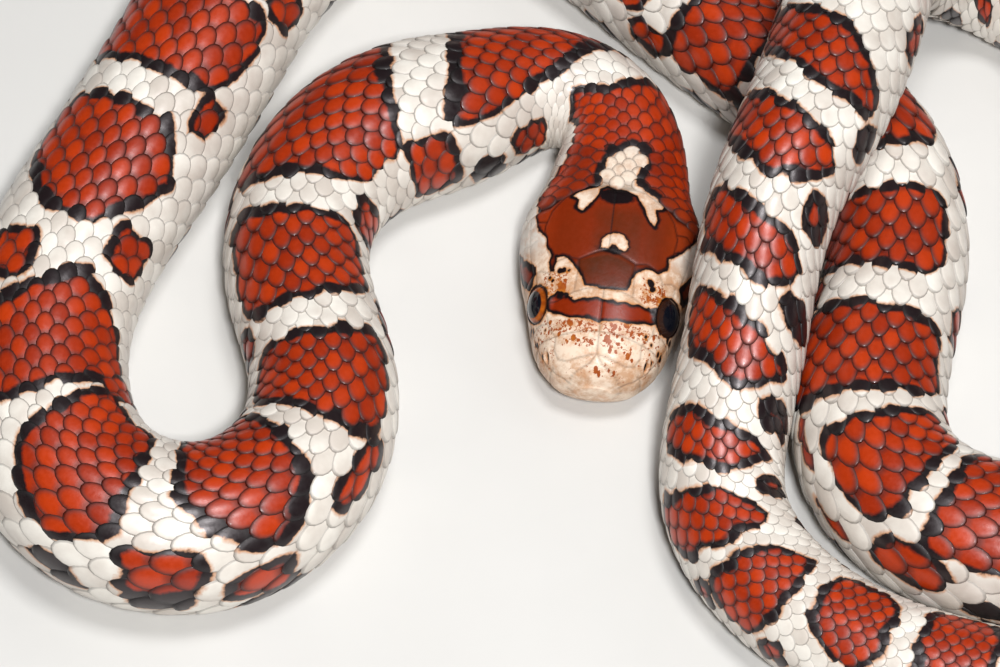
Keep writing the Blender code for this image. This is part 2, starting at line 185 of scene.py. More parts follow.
class Spline:
    """A natural cubic spline through values at knots."""

    def __init__(self, knots, values):
        self.knots = np.array(knots, float)
        self.values = np.array(values, float)
        count = len(self.knots)
        step = np.diff(self.knots)
        matrix = np.eye(count)
        right = np.zeros_like(self.values)
        for i in range(1, count - 1):
            matrix[i, i - 1:i + 2] = step[i - 1], 2 * (step[i - 1] + step[i]), step[i]
            after = (self.values[i + 1] - self.values[i]) / step[i]
            before = (self.values[i] - self.values[i - 1]) / step[i - 1]
            right[i] = 6 * (after - before)
        self.bend = np.linalg.solve(matrix, right)

    def at(self, places):
        places = np.asarray(places, float)
        i = np.clip(np.searchsorted(self.knots, places) - 1, 0, len(self.knots) - 2)
        step = self.knots[i + 1] - self.knots[i]
        b = (places - self.knots[i]) / step
        a = 1 - b
        if self.values.ndim > 1:
            a, b, step = a[..., None], b[..., None], step[..., None]
        bulge = (a ** 3 - a) * self.bend[i] + (b ** 3 - b) * self.bend[i + 1]
        return a * self.values[i] + b * self.values[i + 1] + bulge * step ** 2 / 6


class Route:
    """The midline in plan, by distance from the snout."""

    SAMPLES = 40

    def __init__(self, points):
        points = np.array(points, float)
        chords = np.linalg.norm(np.diff(points, axis=0), axis=1)
        curve = Spline(np.concatenate(([0], np.cumsum(chords))), points)
        self.path = curve.at(np.linspace(0, curve.knots[-1], self.SAMPLES * len(points)))
        steps = np.linalg.norm(np.diff(self.path, axis=0), axis=1)
        self.run = np.concatenate(([0], np.cumsum(steps)))
        self.length = self.run[-1]

    def points(self, distances):
        return np.stack([np.interp(distances, self.run, self.path[:, i]) for i in (0, 1)], -1)

    def headings(self, distances):
        ahead = self.points(np.minimum(distances + HEADING_REACH, self.length))
        behind = self.points(np.maximum(distances - HEADING_REACH, 0))
        way = ahead - behind
        return way / np.linalg.norm(way, axis=-1, keepdims=True)


def smooth(low, high, value):
    """Rises smoothly from 0 at low to 1 at high."""
    share = np.clip((value - low) / (high - low), 0, 1)
    return share * share * (3 - 2 * share)


def fade(low, high, value):
    """Falls smoothly from 1 at low to 0 at high."""
    return 1 - smooth(low, high, value)


def bell(value, width):
    return np.exp(-(value / width) ** 2)


def folded(size, knee, end, to_knee, to_end):
    """Maps 0, knee and end to 0, to_knee and to_end, in straight stretches."""
    past = (size - knee) / np.maximum(end - knee, 1e-6)
    return np.where(size <= knee, size / knee * to_knee, to_knee + past * (to_end - to_knee))


def stations(table, value):
    """A table's second column, read at values of its first."""
    return np.interp(value, [row[0] for row in table], [row[1] for row in table])


def lift(distance):
    """How high the hind body is raised where it crosses an earlier length."""
    past_top = np.abs(distance - CROSSING_AT) - CROSSING_TOP
    run = np.where(distance > CROSSING_AT, DESCENT_LENGTH, CLIMB_LENGTH)
    share = np.clip(past_top / run, 0, 1)
    return CROSSING_LIFT * (0.5 + 0.5 * np.cos(math.pi * share))


def power(value, exponent):
    return np.sign(value) * np.abs(value) ** exponent


ROUTE_LINE = Route(ROUTE)
BODY_LENGTH = ROUTE_LINE.length
HEAD_SHAPE = Spline([s[0] for s in HEAD_STATIONS], [s[1:] for s in HEAD_STATIONS])
MOUTH_SHAPE = Spline([s[0] for s in MOUTH_LINE], [s[1] for s in MOUTH_LINE])
GIRTH_STATIONS = GIRTH + ((BODY_LENGTH, *TAIL_TIP),)
GIRTH_SHAPE = Spline([s[0] for s in GIRTH_STATIONS], [s[1:] for s in GIRTH_STATIONS])
HEAD_BASE = ROUTE_LINE.points(np.array([NECK_START]))[0]
HEAD_WAY = ROUTE_LINE.headings(np.array([NECK_START]))[0]
HEAD_OUT = np.array([HEAD_WAY[1], -HEAD_WAY[0]])


def body_section(distance, turn):
    """(side, level) of the body at a column of distances and rows of turns."""
    girth = GIRTH_SHAPE.at(distance)
    rise = (lift(distance + SLOPE_REACH) - lift(distance - SLOPE_REACH)) / (2 * SLOPE_REACH)
    width = girth[:, :1]
    height = girth[:, 1:] * np.hypot(1, rise)[:, None]
    side = width / 2 * power(np.sin(turn), FLANK_POWER)
    level = height * (0.5 - BELLY_SINK / 2) + height * (0.5 + BELLY_SINK / 2) * np.cos(turn)
    return side, np.maximum(level, 0) + lift(distance)[:, None]


def head_section(distance, turn):
    """(side, level) of the head at a column of distances and rows of turns."""
    shape = HEAD_SHAPE.at(np.clip(distance, 0, NECK_START))
    half_width, top, underside = (column[:, None] for column in shape.T)
    widest = underside + HEAD_WIDEST_SHARE * (top - underside)
    crown = np.cos(turn) >= 0
    exponent = np.where(crown, 2 / CROWN_POWER, 2 / THROAT_POWER)
    side = half_width * power(np.sin(turn), exponent)
    reach = np.where(crown, top - widest, underside - widest)
    return side, widest + reach * np.abs(np.cos(turn)) ** exponent


class Surface:
    """The snake's outer surface by distance from the snout and share of the half girth.

    A share of 0 is the middle of the back and 1 or -1 the middle of the belly. Positive
    shares are on the snake's left flank. On the head the mouth lies at MOUTH_SHARE.
    """

    SHARES = 160
    TURNS = 361

    def __init__(self):
        ends = (-SNOUT_CAP, 0.0, HEAD_TABLE_END, BODY_LENGTH + 0.01)
        runs = [np.arange(a, b, step) for a, b, step in zip(ends, ends[1:], TABLE_SPACINGS)]
        self.distances = d = np.concatenate(runs)
        roll = np.radians(stations(ROLL, d))
        sweep = np.linspace(0, math.pi, self.TURNS)
        shares = np.linspace(0, 1, self.SHARES + 1)
        heads, bodies = [], []
        for sign in (-1, 1):
            turn = roll[:, None] + sign * sweep[None, :]
            body = np.stack(body_section(d, turn), -1)
            head = np.stack(head_section(d, turn), -1)
            arc = self.arcs(np.where((d < NECK_START)[:, None, None], head, body))
            mouth_arc = self.mouth_arcs(head, arc)
            wanted = folded(shares[None], MOUTH_SHARE, 1, mouth_arc[:, None], arc[:, -1:])
            heads.append(self.resample(arc, head, wanted))
            bodies.append(self.resample(arc, body, wanted))
        self.mouth_arc, self.half_girth = mouth_arc, arc[:, -1]
        head = np.concatenate([heads[0][:, :0:-1], heads[1]], 1)
        body = np.concatenate([bodies[0][:, :0:-1], bodies[1]], 1)
        mix = smooth(BLEND_START, BLEND_END, d)[:, None, None]
        place = self.head_places(head) * (1 - mix) + self.body_places(body) * mix
        place[..., :2] -= PLAN_CENTRE
        along = np.gradient(place, axis=0)
        around = np.gradient(place, axis=1)
        normal = np.cross(around, along)
        normal /= np.maximum(np.linalg.norm(normal, axis=-1, keepdims=True), 1e-12)
        self.table = np.concatenate([place, normal], -1)

    def spread(self, centre, across, section):
        """Places of the sections, across the midline from each centre."""
        return np.concatenate([centre[:, None] + across * section[..., :1], section[..., 1:]], -1)

    def body_places(self, section):
        distance = np.clip(self.distances, 0, BODY_LENGTH)
        ahead = ROUTE_LINE.headings(distance)
        across = np.stack([ahead[:, 1], -ahead[:, 0]], -1)
        return self.spread(ROUTE_LINE.points(distance), across[:, None], section)

    def head_places(self, section):
        ahead = np.maximum(self.distances, 0) - NECK_START
        place = self.spread(HEAD_BASE + HEAD_WAY * ahead[:, None], HEAD_OUT, section)
        cap = self.distances < 0
        turn = np.clip(-self.distances[cap] / SNOUT_CAP, 0, 1)[:, None, None] * math.pi / 2
        middle = np.array([*(HEAD_BASE - HEAD_WAY * NECK_START), SNOUT_LEVEL])
        bulge = np.array([*-HEAD_WAY, 0]) * SNOUT_BULGE
        place[cap] = middle + (place[cap] - middle) * np.cos(turn) + bulge * np.sin(turn)
        return place

    def arcs(self, outline):
        """Millimetres round each outline."""
        steps = np.linalg.norm(np.diff(outline, axis=1), axis=-1)
        return np.concatenate([np.zeros((len(steps), 1)), np.cumsum(steps, 1)], 1)

    def mouth_arcs(self, head, arc):
        """Millimetres round the head to the line of the mouth."""
        d = self.distances
        level = MOUTH_SHAPE.at(np.clip(d, 0, MOUTH_LINE[-1][0]))
        even = smooth(MOUTH_LINE[-2][0], NECK_START, d)
        found = [np.interp(-level[k], -head[k, :, 1], arc[k]) for k in range(len(d))]
        return np.array(found) * (1 - even) + MOUTH_SHARE * arc[:, -1] * even

    def resample(self, arc, outline, wanted):
        """The outlines' points at the wanted millimetres round them."""
        result = np.empty(wanted.shape + (2,))
        for k in range(len(arc)):
            for i in (0, 1):
                result[k, :, i] = np.interp(wanted[k], arc[k], outline[k, :, i])
        return result

    def at(self, distance, share):
        """(place, normal) at distances and shares."""
        rows = np.arange(len(self.distances))
        row = np.minimum(np.interp(distance, self.distances, rows), len(rows) - 1.001)
        column = ((share + 1) % 2) * self.SHARES
        k, m = row.astype(int), column.astype(int)
        a, b = (row - k)[..., None], (column - m)[..., None]
        beside = np.minimum(m + 1, 2 * self.SHARES)
        near, far = (self.table[i, m] * (1 - b) + self.table[i, beside] * b for i in (k, k + 1))
        found = near * (1 - a) + far * a
        normal = found[..., 3:]
        size = np.maximum(np.linalg.norm(normal, axis=-1, keepdims=True), 1e-9)
        return found[..., :3], normal / size

    def girth(self, distance):
        """Half the girth, in millimetres."""
        return np.interp(distance, self.distances, self.half_girth)

    def mouth(self, distance):
        """Millimetres round the head from the middle of the back to the mouth."""
        return np.interp(distance, self.distances, self.mouth_arc)

    def arc(self, distance, share):
        """Signed millimetres round the body from the middle of the back."""
        ends = MOUTH_SHARE, 1, self.mouth(distance), self.girth(distance)
        return np.sign(share) * folded(np.abs(share), *ends)

    def share(self, distance, arc):
        """The share at signed millimetres round the body."""
        ends = self.mouth(distance), self.girth(distance), MOUTH_SHARE, 1
        return np.sign(arc) * folded(np.abs(arc), *ends)


SURFACE = Surface()

# The markings, by distance from the snout and share of the half girth, where a head mark
# is given in millimetres round the head instead.
OUTER, INNER, BROWN, SPECK = range(4)
FAR = 9.0
MARK_REACH = 5.0
BLOTCHES = (
    # start, end, black at each end, left share, right share, front slant, rear slant
    (30.9, 42.3, 1.5, -0.27, 0.42, -6.5, -8),
    (47.2, 58.8, 1.15, -0.30, 0.37, -7, 5),
    (61.7, 70.7, 1, -0.33, 0.34, 0, 0),
    (73.6, 82.0, 1.05, -0.33, 0.32, 0, 0),
    (84.7, 95.3, 1.2, -0.38, 0.38, -5, 0),
    (98.0, 108.2, 1.1, -0.37, 0.29, 0, 5),
    (110.0, 120.6, 1.2, -0.31, 0.38, 0, 13),
    (126.8, 139.1, 1.15, -0.31, 0.34, 0, 0),
    (142.5, 152.6, 1.15, -0.38, 0.31, 0, 0),
    (156.2, 167.3, 1.1, -0.32, 0.33, 0, 0),
    (170.6, 181.1, 1.1, -0.33, 0.32, 0, 0),
    (184.2, 193.6, 1.05, -0.32, 0.34, 0, 0),
    (196.6, 204.7, 0.95, -0.33, 0.36, 0, 0),
    (207.4, 215.4, 0.95, -0.33, 0.45, 0, 0),
    (218.8, 229.9, 1.05, -0.32, 0.36, 0, 0),
    (233.7, 242.2, 0.9, -0.22, 0.46, 0, 0),
    (245.6, 254.1, 1, -0.32, 0.45, 0, 0),
    (256.0, 263.2, 0.9, -0.29, 0.30, 0, 0),
    (264.7, 274.7, 1.05, -0.28, 0.30, 0, 0),
    (369.0, 375.9, 0.9, -0.41, 0.40, -5, 0),
    (378.1, 383.9, 0.9, -0.36, 0.40, -5, -9),
    (386.0, 391.0, 0.9, -0.36, 0.30, -8, -9),
    (393.2, 398.2, 0.8, -0.44, 0.28, -9, -9),
    (400.9, 404.8, 0.8, -0.40, 0.30, -6, -6.5),
    (406.0, 410.2, 0.7, -0.21, 0.45, -4, -2),
    (411.5, 416.1, 0.7, -0.22, 0.42, -3, 0),
    (417.6, 423.9, 0.85, -0.25, 0.28, 0, 0),
    (426.0, 432.2, 0.8, -0.30, 0.30, 0, 0),
)
EDGE_CUTS = (
    # blotch's start, rear 1 or front -1, distance at the middle of the back, slant
    (30.9, -1, 27.6, -35), (84.7, 1, 96.0, 16), (84.7, -1, 82.5, -19), (98.0, -1, 92.5, -25),
    (98.0, 1, 110.9, 23), (110.0, 1, 126.5, -21), (126.8, -1, 122.6, 33), (126.8, -1, 125.0, -20),
    (126.8, 1, 142.7, -24), (142.5, -1, 138.0, 22), (369.0, -1, 368.6, -14), (369.0, 1, 375.5, -8),
    (378.1, 1, 384.9, 8), (386.0, 1, 393.8, 10), (393.2, 1, 400.3, 9), (400.9, 1, 405.7, 5),
    (406.0, -1, 405.8, -14), (406.0, 1, 410.6, -4.6), (411.5, -1, 411.2, -17),
    (417.6, -1, 416.5, 10.7),
)
HIDDEN_BLOTCHES = (
    # first start, how many, period, length
    (277.6, 8, 11.15, 8.5), (435.0, 7, 7.0, 4.9), (484.4, 5, 5.3, 3.6),
)
HIDDEN_BORDER = 0.9
HIDDEN_SHARE = 0.33
LATERALS = (
    # distance, share, length, breadth in shares, black round the red
    (36.8, -0.46, 5.0, 0.20, 0.5), (41.3, -0.54, 2.6, 0.18, 2.0), (46.5, -0.41, 6.0, 0.30, 0.6),
    (60.0, -0.42, 5.6, 0.26, 0.8), (72.0, -0.43, 4.0, 0.14, 0.5), (83.5, -0.34, 5.0, 0.14, 0.6),
    (90.9, -0.46, 3.8, 0.18, 0.6), (95.6, -0.35, 4.6, 0.22, 0.6), (95.9, -0.50, 3.6, 0.12, 2.0),
    (101.2, -0.47, 3.6, 0.10, 2.0), (108.9, -0.44, 4.2, 0.16, 0.6), (122.7, -0.14, 4.6, 0.20, 0.6),
    (124.5, -0.42, 4.0, 0.14, 0.6), (140.6, -0.45, 4.2, 0.14, 0.6), (44.5, 0.46, 4.0, 0.18, 0.6),
    (59.9, 0.46, 4.2, 0.18, 0.6), (72.0, 0.40, 4.0, 0.16, 0.6), (83.4, 0.42, 4.2, 0.16, 0.6),
    (96.4, 0.44, 4.2, 0.16, 0.6), (109.6, 0.34, 4.4, 0.20, 0.6), (126.4, 0.31, 5.0, 0.20, 0.6),
    (141.2, 0.28, 4.0, 0.13, 0.5), (154.6, 0.33, 4.2, 0.18, 0.6), (376.9, -0.42, 3.4, 0.14, 1.3),
    (385.2, -0.35, 3.6, 0.22, 1.3), (392.8, -0.36, 2.6, 0.25, 1.3), (399.7, -0.37, 2.6, 0.26, 1.2),
    (406.6, -0.31, 2.6, 0.22, 1.2), (265.0, 0.385, 4.6, 0.19, 0.6), (269.5, 0.50, 3.0, 0.12, 2.0),
    (255.9, 0.37, 3.4, 0.06, 0.12), (259.8, 0.455, 3.4, 0.06, 0.12),
    (231.8, 0.46, 3.6, 0.14, 0.6),
)
SEEN_LATERALS = ((0, 155), (375, 408))
LATERALS_FROM = 60
LATERAL_CLEAR = 3
LATERAL_SHARE = 0.43
LATERAL_LENGTH = 4.0
LATERAL_BREADTH = 0.16
LATERAL_BORDER = 0.6
LATERAL_CORNER = 1.2
BLOTCH_CORNER = 2.2
BLOTCH_PERIOD = 11
BORDER_SIDES = 0.40
BORDER_TURN = 2.4
BORDER_THINNING = 0.85
WAVER = 0.20
WAVER_SIZE = 1.3
CHECKERS = (
    # share, half breadth in shares, half length, corner, stagger
    (0.64, 0.06, 2.0, 1.0, 0.0), (0.88, 0.07, 2.4, 0.5, 1.6),
)

# Head marks: outlines in (distance, millimetres round the head).
CROWN_CAP = (
    (7.0, 0.0), (7.0, 1.9), (8.0, 2.1), (8.8, 2.6), (9.2, 3.2), (9.1, 4.2), (9.6, 5.1),
    (10.6, 5.1), (11.3, 5.9), (12.5, 6.9), (13.6, 7.8), (16.0, 8.2), (20.0, 8.1),
    (24.0, 7.4), (27.0, 5.6), (27.2, 3.1), (27.3, 1.2), (27.2, -0.5), (28.3, -1.3),
    (30.2, -2.6), (29.8, -3.4), (28.5, -4.3), (27.0, -5.0), (25.0, -4.7), (22.0, -4.6),
    (20.0, -5.2), (18.0, -6.4), (16.0, -7.2), (13.5, -6.6), (12.4, -6.2), (11.5, -5.4),
    (10.5, -5.1), (9.9, -4.7), (9.3, -4.9), (8.5, -4.7), (8.45, -4.3), (9.7, -4.2),
    (9.6, -3.2), (8.6, -2.5), (7.9, -1.9), (7.1, -1.6),
)
SNOUT_BAR = (
    (4.25, -0.1), (4.45, 1.3), (4.5, 2.8), (5.0, 4.3), (5.5, 4.75), (6.2, 4.6), (6.05, 3.2),
    (6.05, 1.6), (6.15, -0.3), (6.0, -2.2), (6.6, -3.3), (6.75, -3.8), (6.1, -4.45),
    (5.2, -4.45), (4.8, -3.7), (4.5, -2.5), (4.45, -1.2),
)
CRESCENT = (
    (10.45, -0.75), (11.2, -0.62), (11.75, -0.25), (12.05, 0.35), (11.8, 1.0), (11.3, 1.42),
    (10.8, 1.6), (10.45, 1.3), (10.55, 0.8), (10.85, 0.55), (10.9, 0.2), (10.5, -0.05),
)
NAPE_MARK = (
    (16.3, -1.65), (18.0, -1.5), (19.2, -1.35), (19.9, -0.7), (20.3, 0.1), (20.8, 0.9),
    (20.6, 1.7), (20.0, 2.3), (19.1, 2.55), (18.2, 2.15), (17.4, 1.75), (16.9, 1.9),
    (16.4, 2.6), (15.9, 3.6), (15.2, 4.1), (14.9, 3.9), (14.7, 3.35), (13.9, 3.6),
    (13.1, 3.5), (13.6, 3.0), (14.8, 2.4), (15.7, 1.8), (16.1, 1.1), (16.3, 0.2),
    (16.6, -0.9), (16.1, -1.35), (15.4, -1.45), (14.6, -1.9), (13.8, -2.5), (14.1, -2.9),
    (14.9, -2.9), (15.3, -3.5), (15.8, -3.0), (16.1, -2.2),
)
EYE_STREAKS = (
    ((8.1, -6.6), (8.7, -6.2), (9.2, -6.2), (10.0, -7.1), (11.0, -8.5), (12.4, -10.4),
     (11.2, -11.0), (9.6, -9.5), (8.5, -8.3), (7.9, -7.3)),
    ((8.0, 7.2), (8.8, 6.7), (9.6, 7.0), (10.4, 7.7), (11.2, 8.8), (12.0, 10.4),
     (10.4, 10.8), (9.2, 9.4), (8.5, 8.3), (7.9, 7.8)),
)
SHADE_OVALS = (
    # middle and reach of painted shade: behind the crown shields, and in front of the crescent
    ((15.5, 0.1), (0.8, 1.6)), ((10.45, 0.25), (0.35, 1.2)),
)
HEAD_WAVER = 0.05
HEAD_WAVER_SIZE = 0.55
CAP_BORDER = 0.24
NECK_BORDER = 0.8
NECK_BORDER_FROM = 24
STREAK_BORDER = 0.5
NAPE_BORDER = (0.3, 0.65)
NAPE_BORDER_RUN = (15.5, 18.0)
CRESCENT_BORDER = 0.16
BAR_BORDER = 0.26
BAR_BROWN = 0.25
BAR_END = 6.6
SPOT_SHRINK = 0.8
SPECK_STRETCH = 1.3
SPECK_EDGE = 0.12
SPECK_REACH = 0.6
SPECK_VARIES = (0.5, 1.4)
HEAD_MARKS_END = 34
FRONTAL_END = (9.8, 10.5)
FRONTAL_LEAN = 0.3
FRONTAL_SIDE = (2.2, 2.9)
CROWN_BROWN = 0.8
CROWN_END = (13.5, 16.5)
CROWN_SIDE = (1.2, 3.8)
CROWN_MIDDLE = 0.6
TEMPLE_BROWN = (0.50, 0.2)
TEMPLE_SIDE = (1.5, 3.5)
TEMPLE_END = (13.0, 19.0)
SNOUT_CREAM_END = (9.0, 12.0)
NAPE_CREAM = 0.8
NAPE_CREAM_END = (19.5, 21.5)
NAPE_CREAM_SIDE = (4.0, 5.5)
HEAD_SPOTS = (
    # black: distance, millimetres round the head, radius
    (8.45, -3.75, 0.28), (8.5, -3.4, 0.32), (8.4, -3.05, 0.22), (8.1, 3.75, 0.42),
    (7.75, 3.95, 0.34), (8.0, -4.65, 0.14), (7.7, -4.3, 0.1), (6.35, -3.5, 0.42),
    (6.3, -3.0, 0.3), (6.1, -2.5, 0.2), (5.9, 4.3, 0.45), (5.4, 4.4, 0.36), (6.0, 3.8, 0.25),
    (2.2, -5.3, 0.22), (2.4, 5.0, 0.2), (3.25, -6.0, 0.24), (3.4, -6.4, 0.22),
    (3.5, -5.6, 0.22), (3.3, 5.6, 0.28), (3.3, 6.3, 0.32), (3.9, 3.9, 0.24),
    (4.6, -6.7, 0.3), (4.8, -7.4, 0.34), (5.0, -8.1, 0.36), (4.9, 6.6, 0.34),
    (5.0, 7.4, 0.34), (4.7, 5.3, 0.2), (3.9, -4.7, 0.12), (3.5, 4.5, 0.2),
)
SPECKS = (
    # orange-brown: distance, millimetres round the head, radius
    (6.95, -3.45, 0.34), (7.3, -3.6, 0.2), (7.6, -3.2, 0.12), (7.9, -4.6, 0.16),
    (7.3, -4.3, 0.1), (6.9, 3.6, 0.16), (7.0, 4.5, 0.2), (7.6, 5.0, 0.18), (7.2, 5.2, 0.14),
    (6.6, 4.9, 0.16), (7.8, 4.6, 0.14), (6.4, 3.4, 0.1), (6.9, 4.1, 0.12),
    (4.1, -2.9, 0.12), (4.05, -2.35, 0.2), (4.0, -1.6, 0.15), (4.2, -2.6, 0.1),
    (4.0, -0.8, 0.1), (4.3, 2.1, 0.22), (4.0, 1.2, 0.2), (3.9, 1.6, 0.12), (4.1, 0.9, 0.1),
    (3.7, 2.6, 0.14), (2.9, -2.0, 0.22), (2.7, -1.6, 0.12), (2.6, -2.5, 0.1),
    (2.65, -0.6, 0.14), (2.6, -1.1, 0.08), (3.0, 0.7, 0.26), (2.8, 0.9, 0.18),
    (2.7, 1.6, 0.12), (2.5, 1.9, 0.1), (2.4, 1.0, 0.1), (2.1, 1.0, 0.16), (2.1, 1.5, 0.14),
    (2.0, 2.5, 0.2), (2.2, 2.2, 0.1), (1.8, 2.9, 0.12), (2.5, 2.7, 0.1), (3.1, 1.9, 0.12),
    (0.75, 0.05, 0.2), (0.55, 0.3, 0.16), (0.8, 1.1, 0.12), (0.7, 1.5, 0.12),
    (3.3, -3.3, 0.16), (3.6, -4.3, 0.12), (4.3, -4.2, 0.14), (4.1, 4.7, 0.16),
)
SPECK_AREAS = (
    # front, rear, inner, outer millimetres round, count, radius
    (2.2, 3.3, 0.0, 3.2, 14, 0.09), (3.4, 4.3, 0.0, 4.2, 16, 0.09),
    (6.4, 8.2, 3.0, 5.3, 12, 0.08), (1.2, 4.4, 3.2, 6.0, 12, 0.07),
)
SPECK_ZONES = (
    # front, rear, inner, outer millimetres round, amount
    (3.1, 4.6, 0.0, 4.4, 0.50), (2.1, 3.1, 0.0, 3.0, 0.45), (0.2, 2.0, 0.0, 2.6, 0.33),
    (6.2, 8.6, 2.8, 5.4, 0.50), (1.0, 5.0, 3.4, 7.0, 0.38),
)


def inside(distance, softness):
    """1 inside, 0 outside, from a signed distance that is negative inside."""
    return np.clip(0.5 - distance / softness, 0, 1)


def outline_distance(outline, x, y):
    """Signed distance to a closed outline, negative inside."""
    points = np.array(outline, float)
    nearest = np.full(x.shape, np.inf)
    within = np.zeros(x.shape, bool)
    for (ax, ay), (bx, by) in zip(points, np.roll(points, -1, axis=0)):
        dx, dy = bx - ax, by - ay
        share = np.clip(((x - ax) * dx + (y - ay) * dy) / (dx * dx + dy * dy), 0, 1)
        nearest = np.minimum(nearest, np.hypot(x - ax - share * dx, y - ay - share * dy))
        if dy != 0:
            crosses = (ay > y) != (by > y)
            within ^= crosses & (x < ax + (y - ay) / dy * dx)
    return np.where(within, -nearest, nearest)


def waver(x, y, size):
    """A slow, repeatable wobble of about one unit."""
    u, v = x / size, y / size
    return 0.5 * (np.sin(1.7 * u + 2.3 * np.sin(1.1 * v)) + np.sin(2.9 * v + 1.9 * np.sin(0.8 * u)))


def box_distance(across, along, corner):
    """Signed distance to a box with round corners, from signed distances to its sides."""
    x, y = across + corner, along + corner
    outer = np.hypot(np.maximum(x, 0), np.maximum(y, 0))
    return outer + np.minimum(np.maximum(x, y), 0) - corner


def add_patch(fields, edge, border):
    """Joins a red patch with a black border, from the signed distance to its outside."""
    fields[:, OUTER] = np.minimum(fields[:, OUTER], edge)
    fields[:, INNER] = np.minimum(fields[:, INNER], edge + border)


def add_black(fields, edge):
    """Adds a black mark, from the signed distance to its outside."""
    fields[:, OUTER] = np.minimum(fields[:, OUTER], edge)
    fields[:, INNER] = np.maximum(fields[:, INNER], -edge)


def cut_patch(fields, edge, border):
    """Leaves a white patch out of the red, with a black border round it."""
    fields[:, OUTER] = np.maximum(fields[:, OUTER], -edge)
    fields[:, INNER] = np.maximum(fields[:, INNER], border - edge)


def box_borders(along, across, ends):
    """The border's breadth: wide at a blotch's front and rear, narrow at its sides."""
    turned = np.clip(0.5 + (along - across) / BORDER_TURN, 0, 1)
    return BORDER_SIDES + (ends - BORDER_SIDES) * turned


def slanted(distance, share, girth, side, edge, slant):
    """Signed distance to a slanted front (side -1) or rear (side 1) edge."""
    return side * (distance - edge - slant * share) / np.hypot(1, slant / girth)


def blotch_list():
    """The measured blotches and those of the lengths outside the photo."""
    found = list(BLOTCHES)
    for start, count, period, length in HIDDEN_BLOTCHES:
        for k in range(count):
            at = start + k * period
            found.append((at, at + length, HIDDEN_BORDER, -HIDDEN_SHARE, HIDDEN_SHARE, 0, 0))
    return sorted(found)


def lateral_list(blotches):
    """The measured flank patches, and one between two blotches wherever none is seen."""
    found = list(LATERALS)
    for before, after in zip(blotches[:-1], blotches[1:]):
        middle = (before[1] + after[0]) / 2
        for side in (-1, 1):
            if any(low < middle < high for low, high in SEEN_LATERALS) or middle < LATERALS_FROM:
                continue
            if any(abs(row[0] - middle) < LATERAL_CLEAR and row[1] * side > 0 for row in LATERALS):
                continue
            length = LATERAL_LENGTH * min(1.0, (after[0] - before[0]) / BLOTCH_PERIOD)
            found.append((middle, side * LATERAL_SHARE, length, LATERAL_BREADTH, LATERAL_BORDER))
    return found


BLOTCH_LIST = blotch_list()
LATERAL_LIST = lateral_list(BLOTCH_LIST)


def body_fields(distance, share):
    """Signed distances to the black edges and the red on the body."""
    fields = np.zeros((len(distance), 4))
    fields[:, [OUTER, INNER]] = FAR
    girth = SURFACE.girth(distance)
    jitter = WAVER * waver(distance, share * girth, WAVER_SIZE)
    for at, side, length, breadth, border in LATERAL_LIST:
        near = np.abs(distance - at) < length / 2 + MARK_REACH
        part = fields[near]
        along = np.abs(distance[near] - at) - length / 2
        across = (np.abs(share[near] - side) - breadth / 2) * girth[near]
        add_patch(part, box_distance(across, along, LATERAL_CORNER) + jitter[near], border)
        fields[near] = part
    for number, row in enumerate(BLOTCH_LIST):
        start, end, border, left, right, front_slant, rear_slant = row
        near = (distance > start - MARK_REACH) & (distance < end + MARK_REACH)
        s, f, size = distance[near], share[near], girth[near]
        part = fields[near]
        edges = [(-1, start, front_slant), (1, end, rear_slant)]
        edges += [cut[1:] for cut in EDGE_CUTS if cut[0] == start]
        along = np.max([slanted(s, f, size, *edge) for edge in edges], axis=0)
        across = np.maximum(left - f, f - right) * size
        edge = box_distance(across, along, BLOTCH_CORNER) + jitter[near]
        add_patch(part, edge, box_borders(along, across, BORDER_THINNING * border))
        add_checkers(part, s, f, size, (start + end) / 2, number)
        fields[near] = part
    return fields


def add_checkers(fields, distance, share, girth, middle, number):
    """Black checkers low on each flank under a blotch, and staggered on the belly."""
    way = 1 if number % 2 else -1
    for side in (-1, 1):
        for round_body, breadth, length, corner, stagger in CHECKERS:
            along = np.abs(distance - middle - side * way * stagger) - length
            across = (np.abs(share - side * round_body) - breadth) * girth
            fields[:, OUTER] = np.minimum(fields[:, OUTER], box_distance(across, along, corner))


def oval_distance(d, a, middle, reach):
    """Signed distance to an oval, true along the head."""
    return (np.hypot((d - middle[0]) / reach[0], (a - middle[1]) / reach[1]) - 1) * reach[0]


def crown_brown(d, a):
    """How brown the red is: most on the frontal shield, less over the crown and temples."""
    plate = fade(*FRONTAL_END, d + FRONTAL_LEAN * np.abs(a)) * fade(*FRONTAL_SIDE, np.abs(a))
    crown = CROWN_BROWN * fade(*CROWN_END, d) * fade(*CROWN_SIDE, np.abs(a - CROWN_MIDDLE))
    least, more = TEMPLE_BROWN
    temple = (least + more * smooth(*TEMPLE_SIDE, a)) * fade(*TEMPLE_END, d)
    return np.where(d > BAR_END, np.maximum(np.maximum(plate, crown), temple), BAR_BROWN)


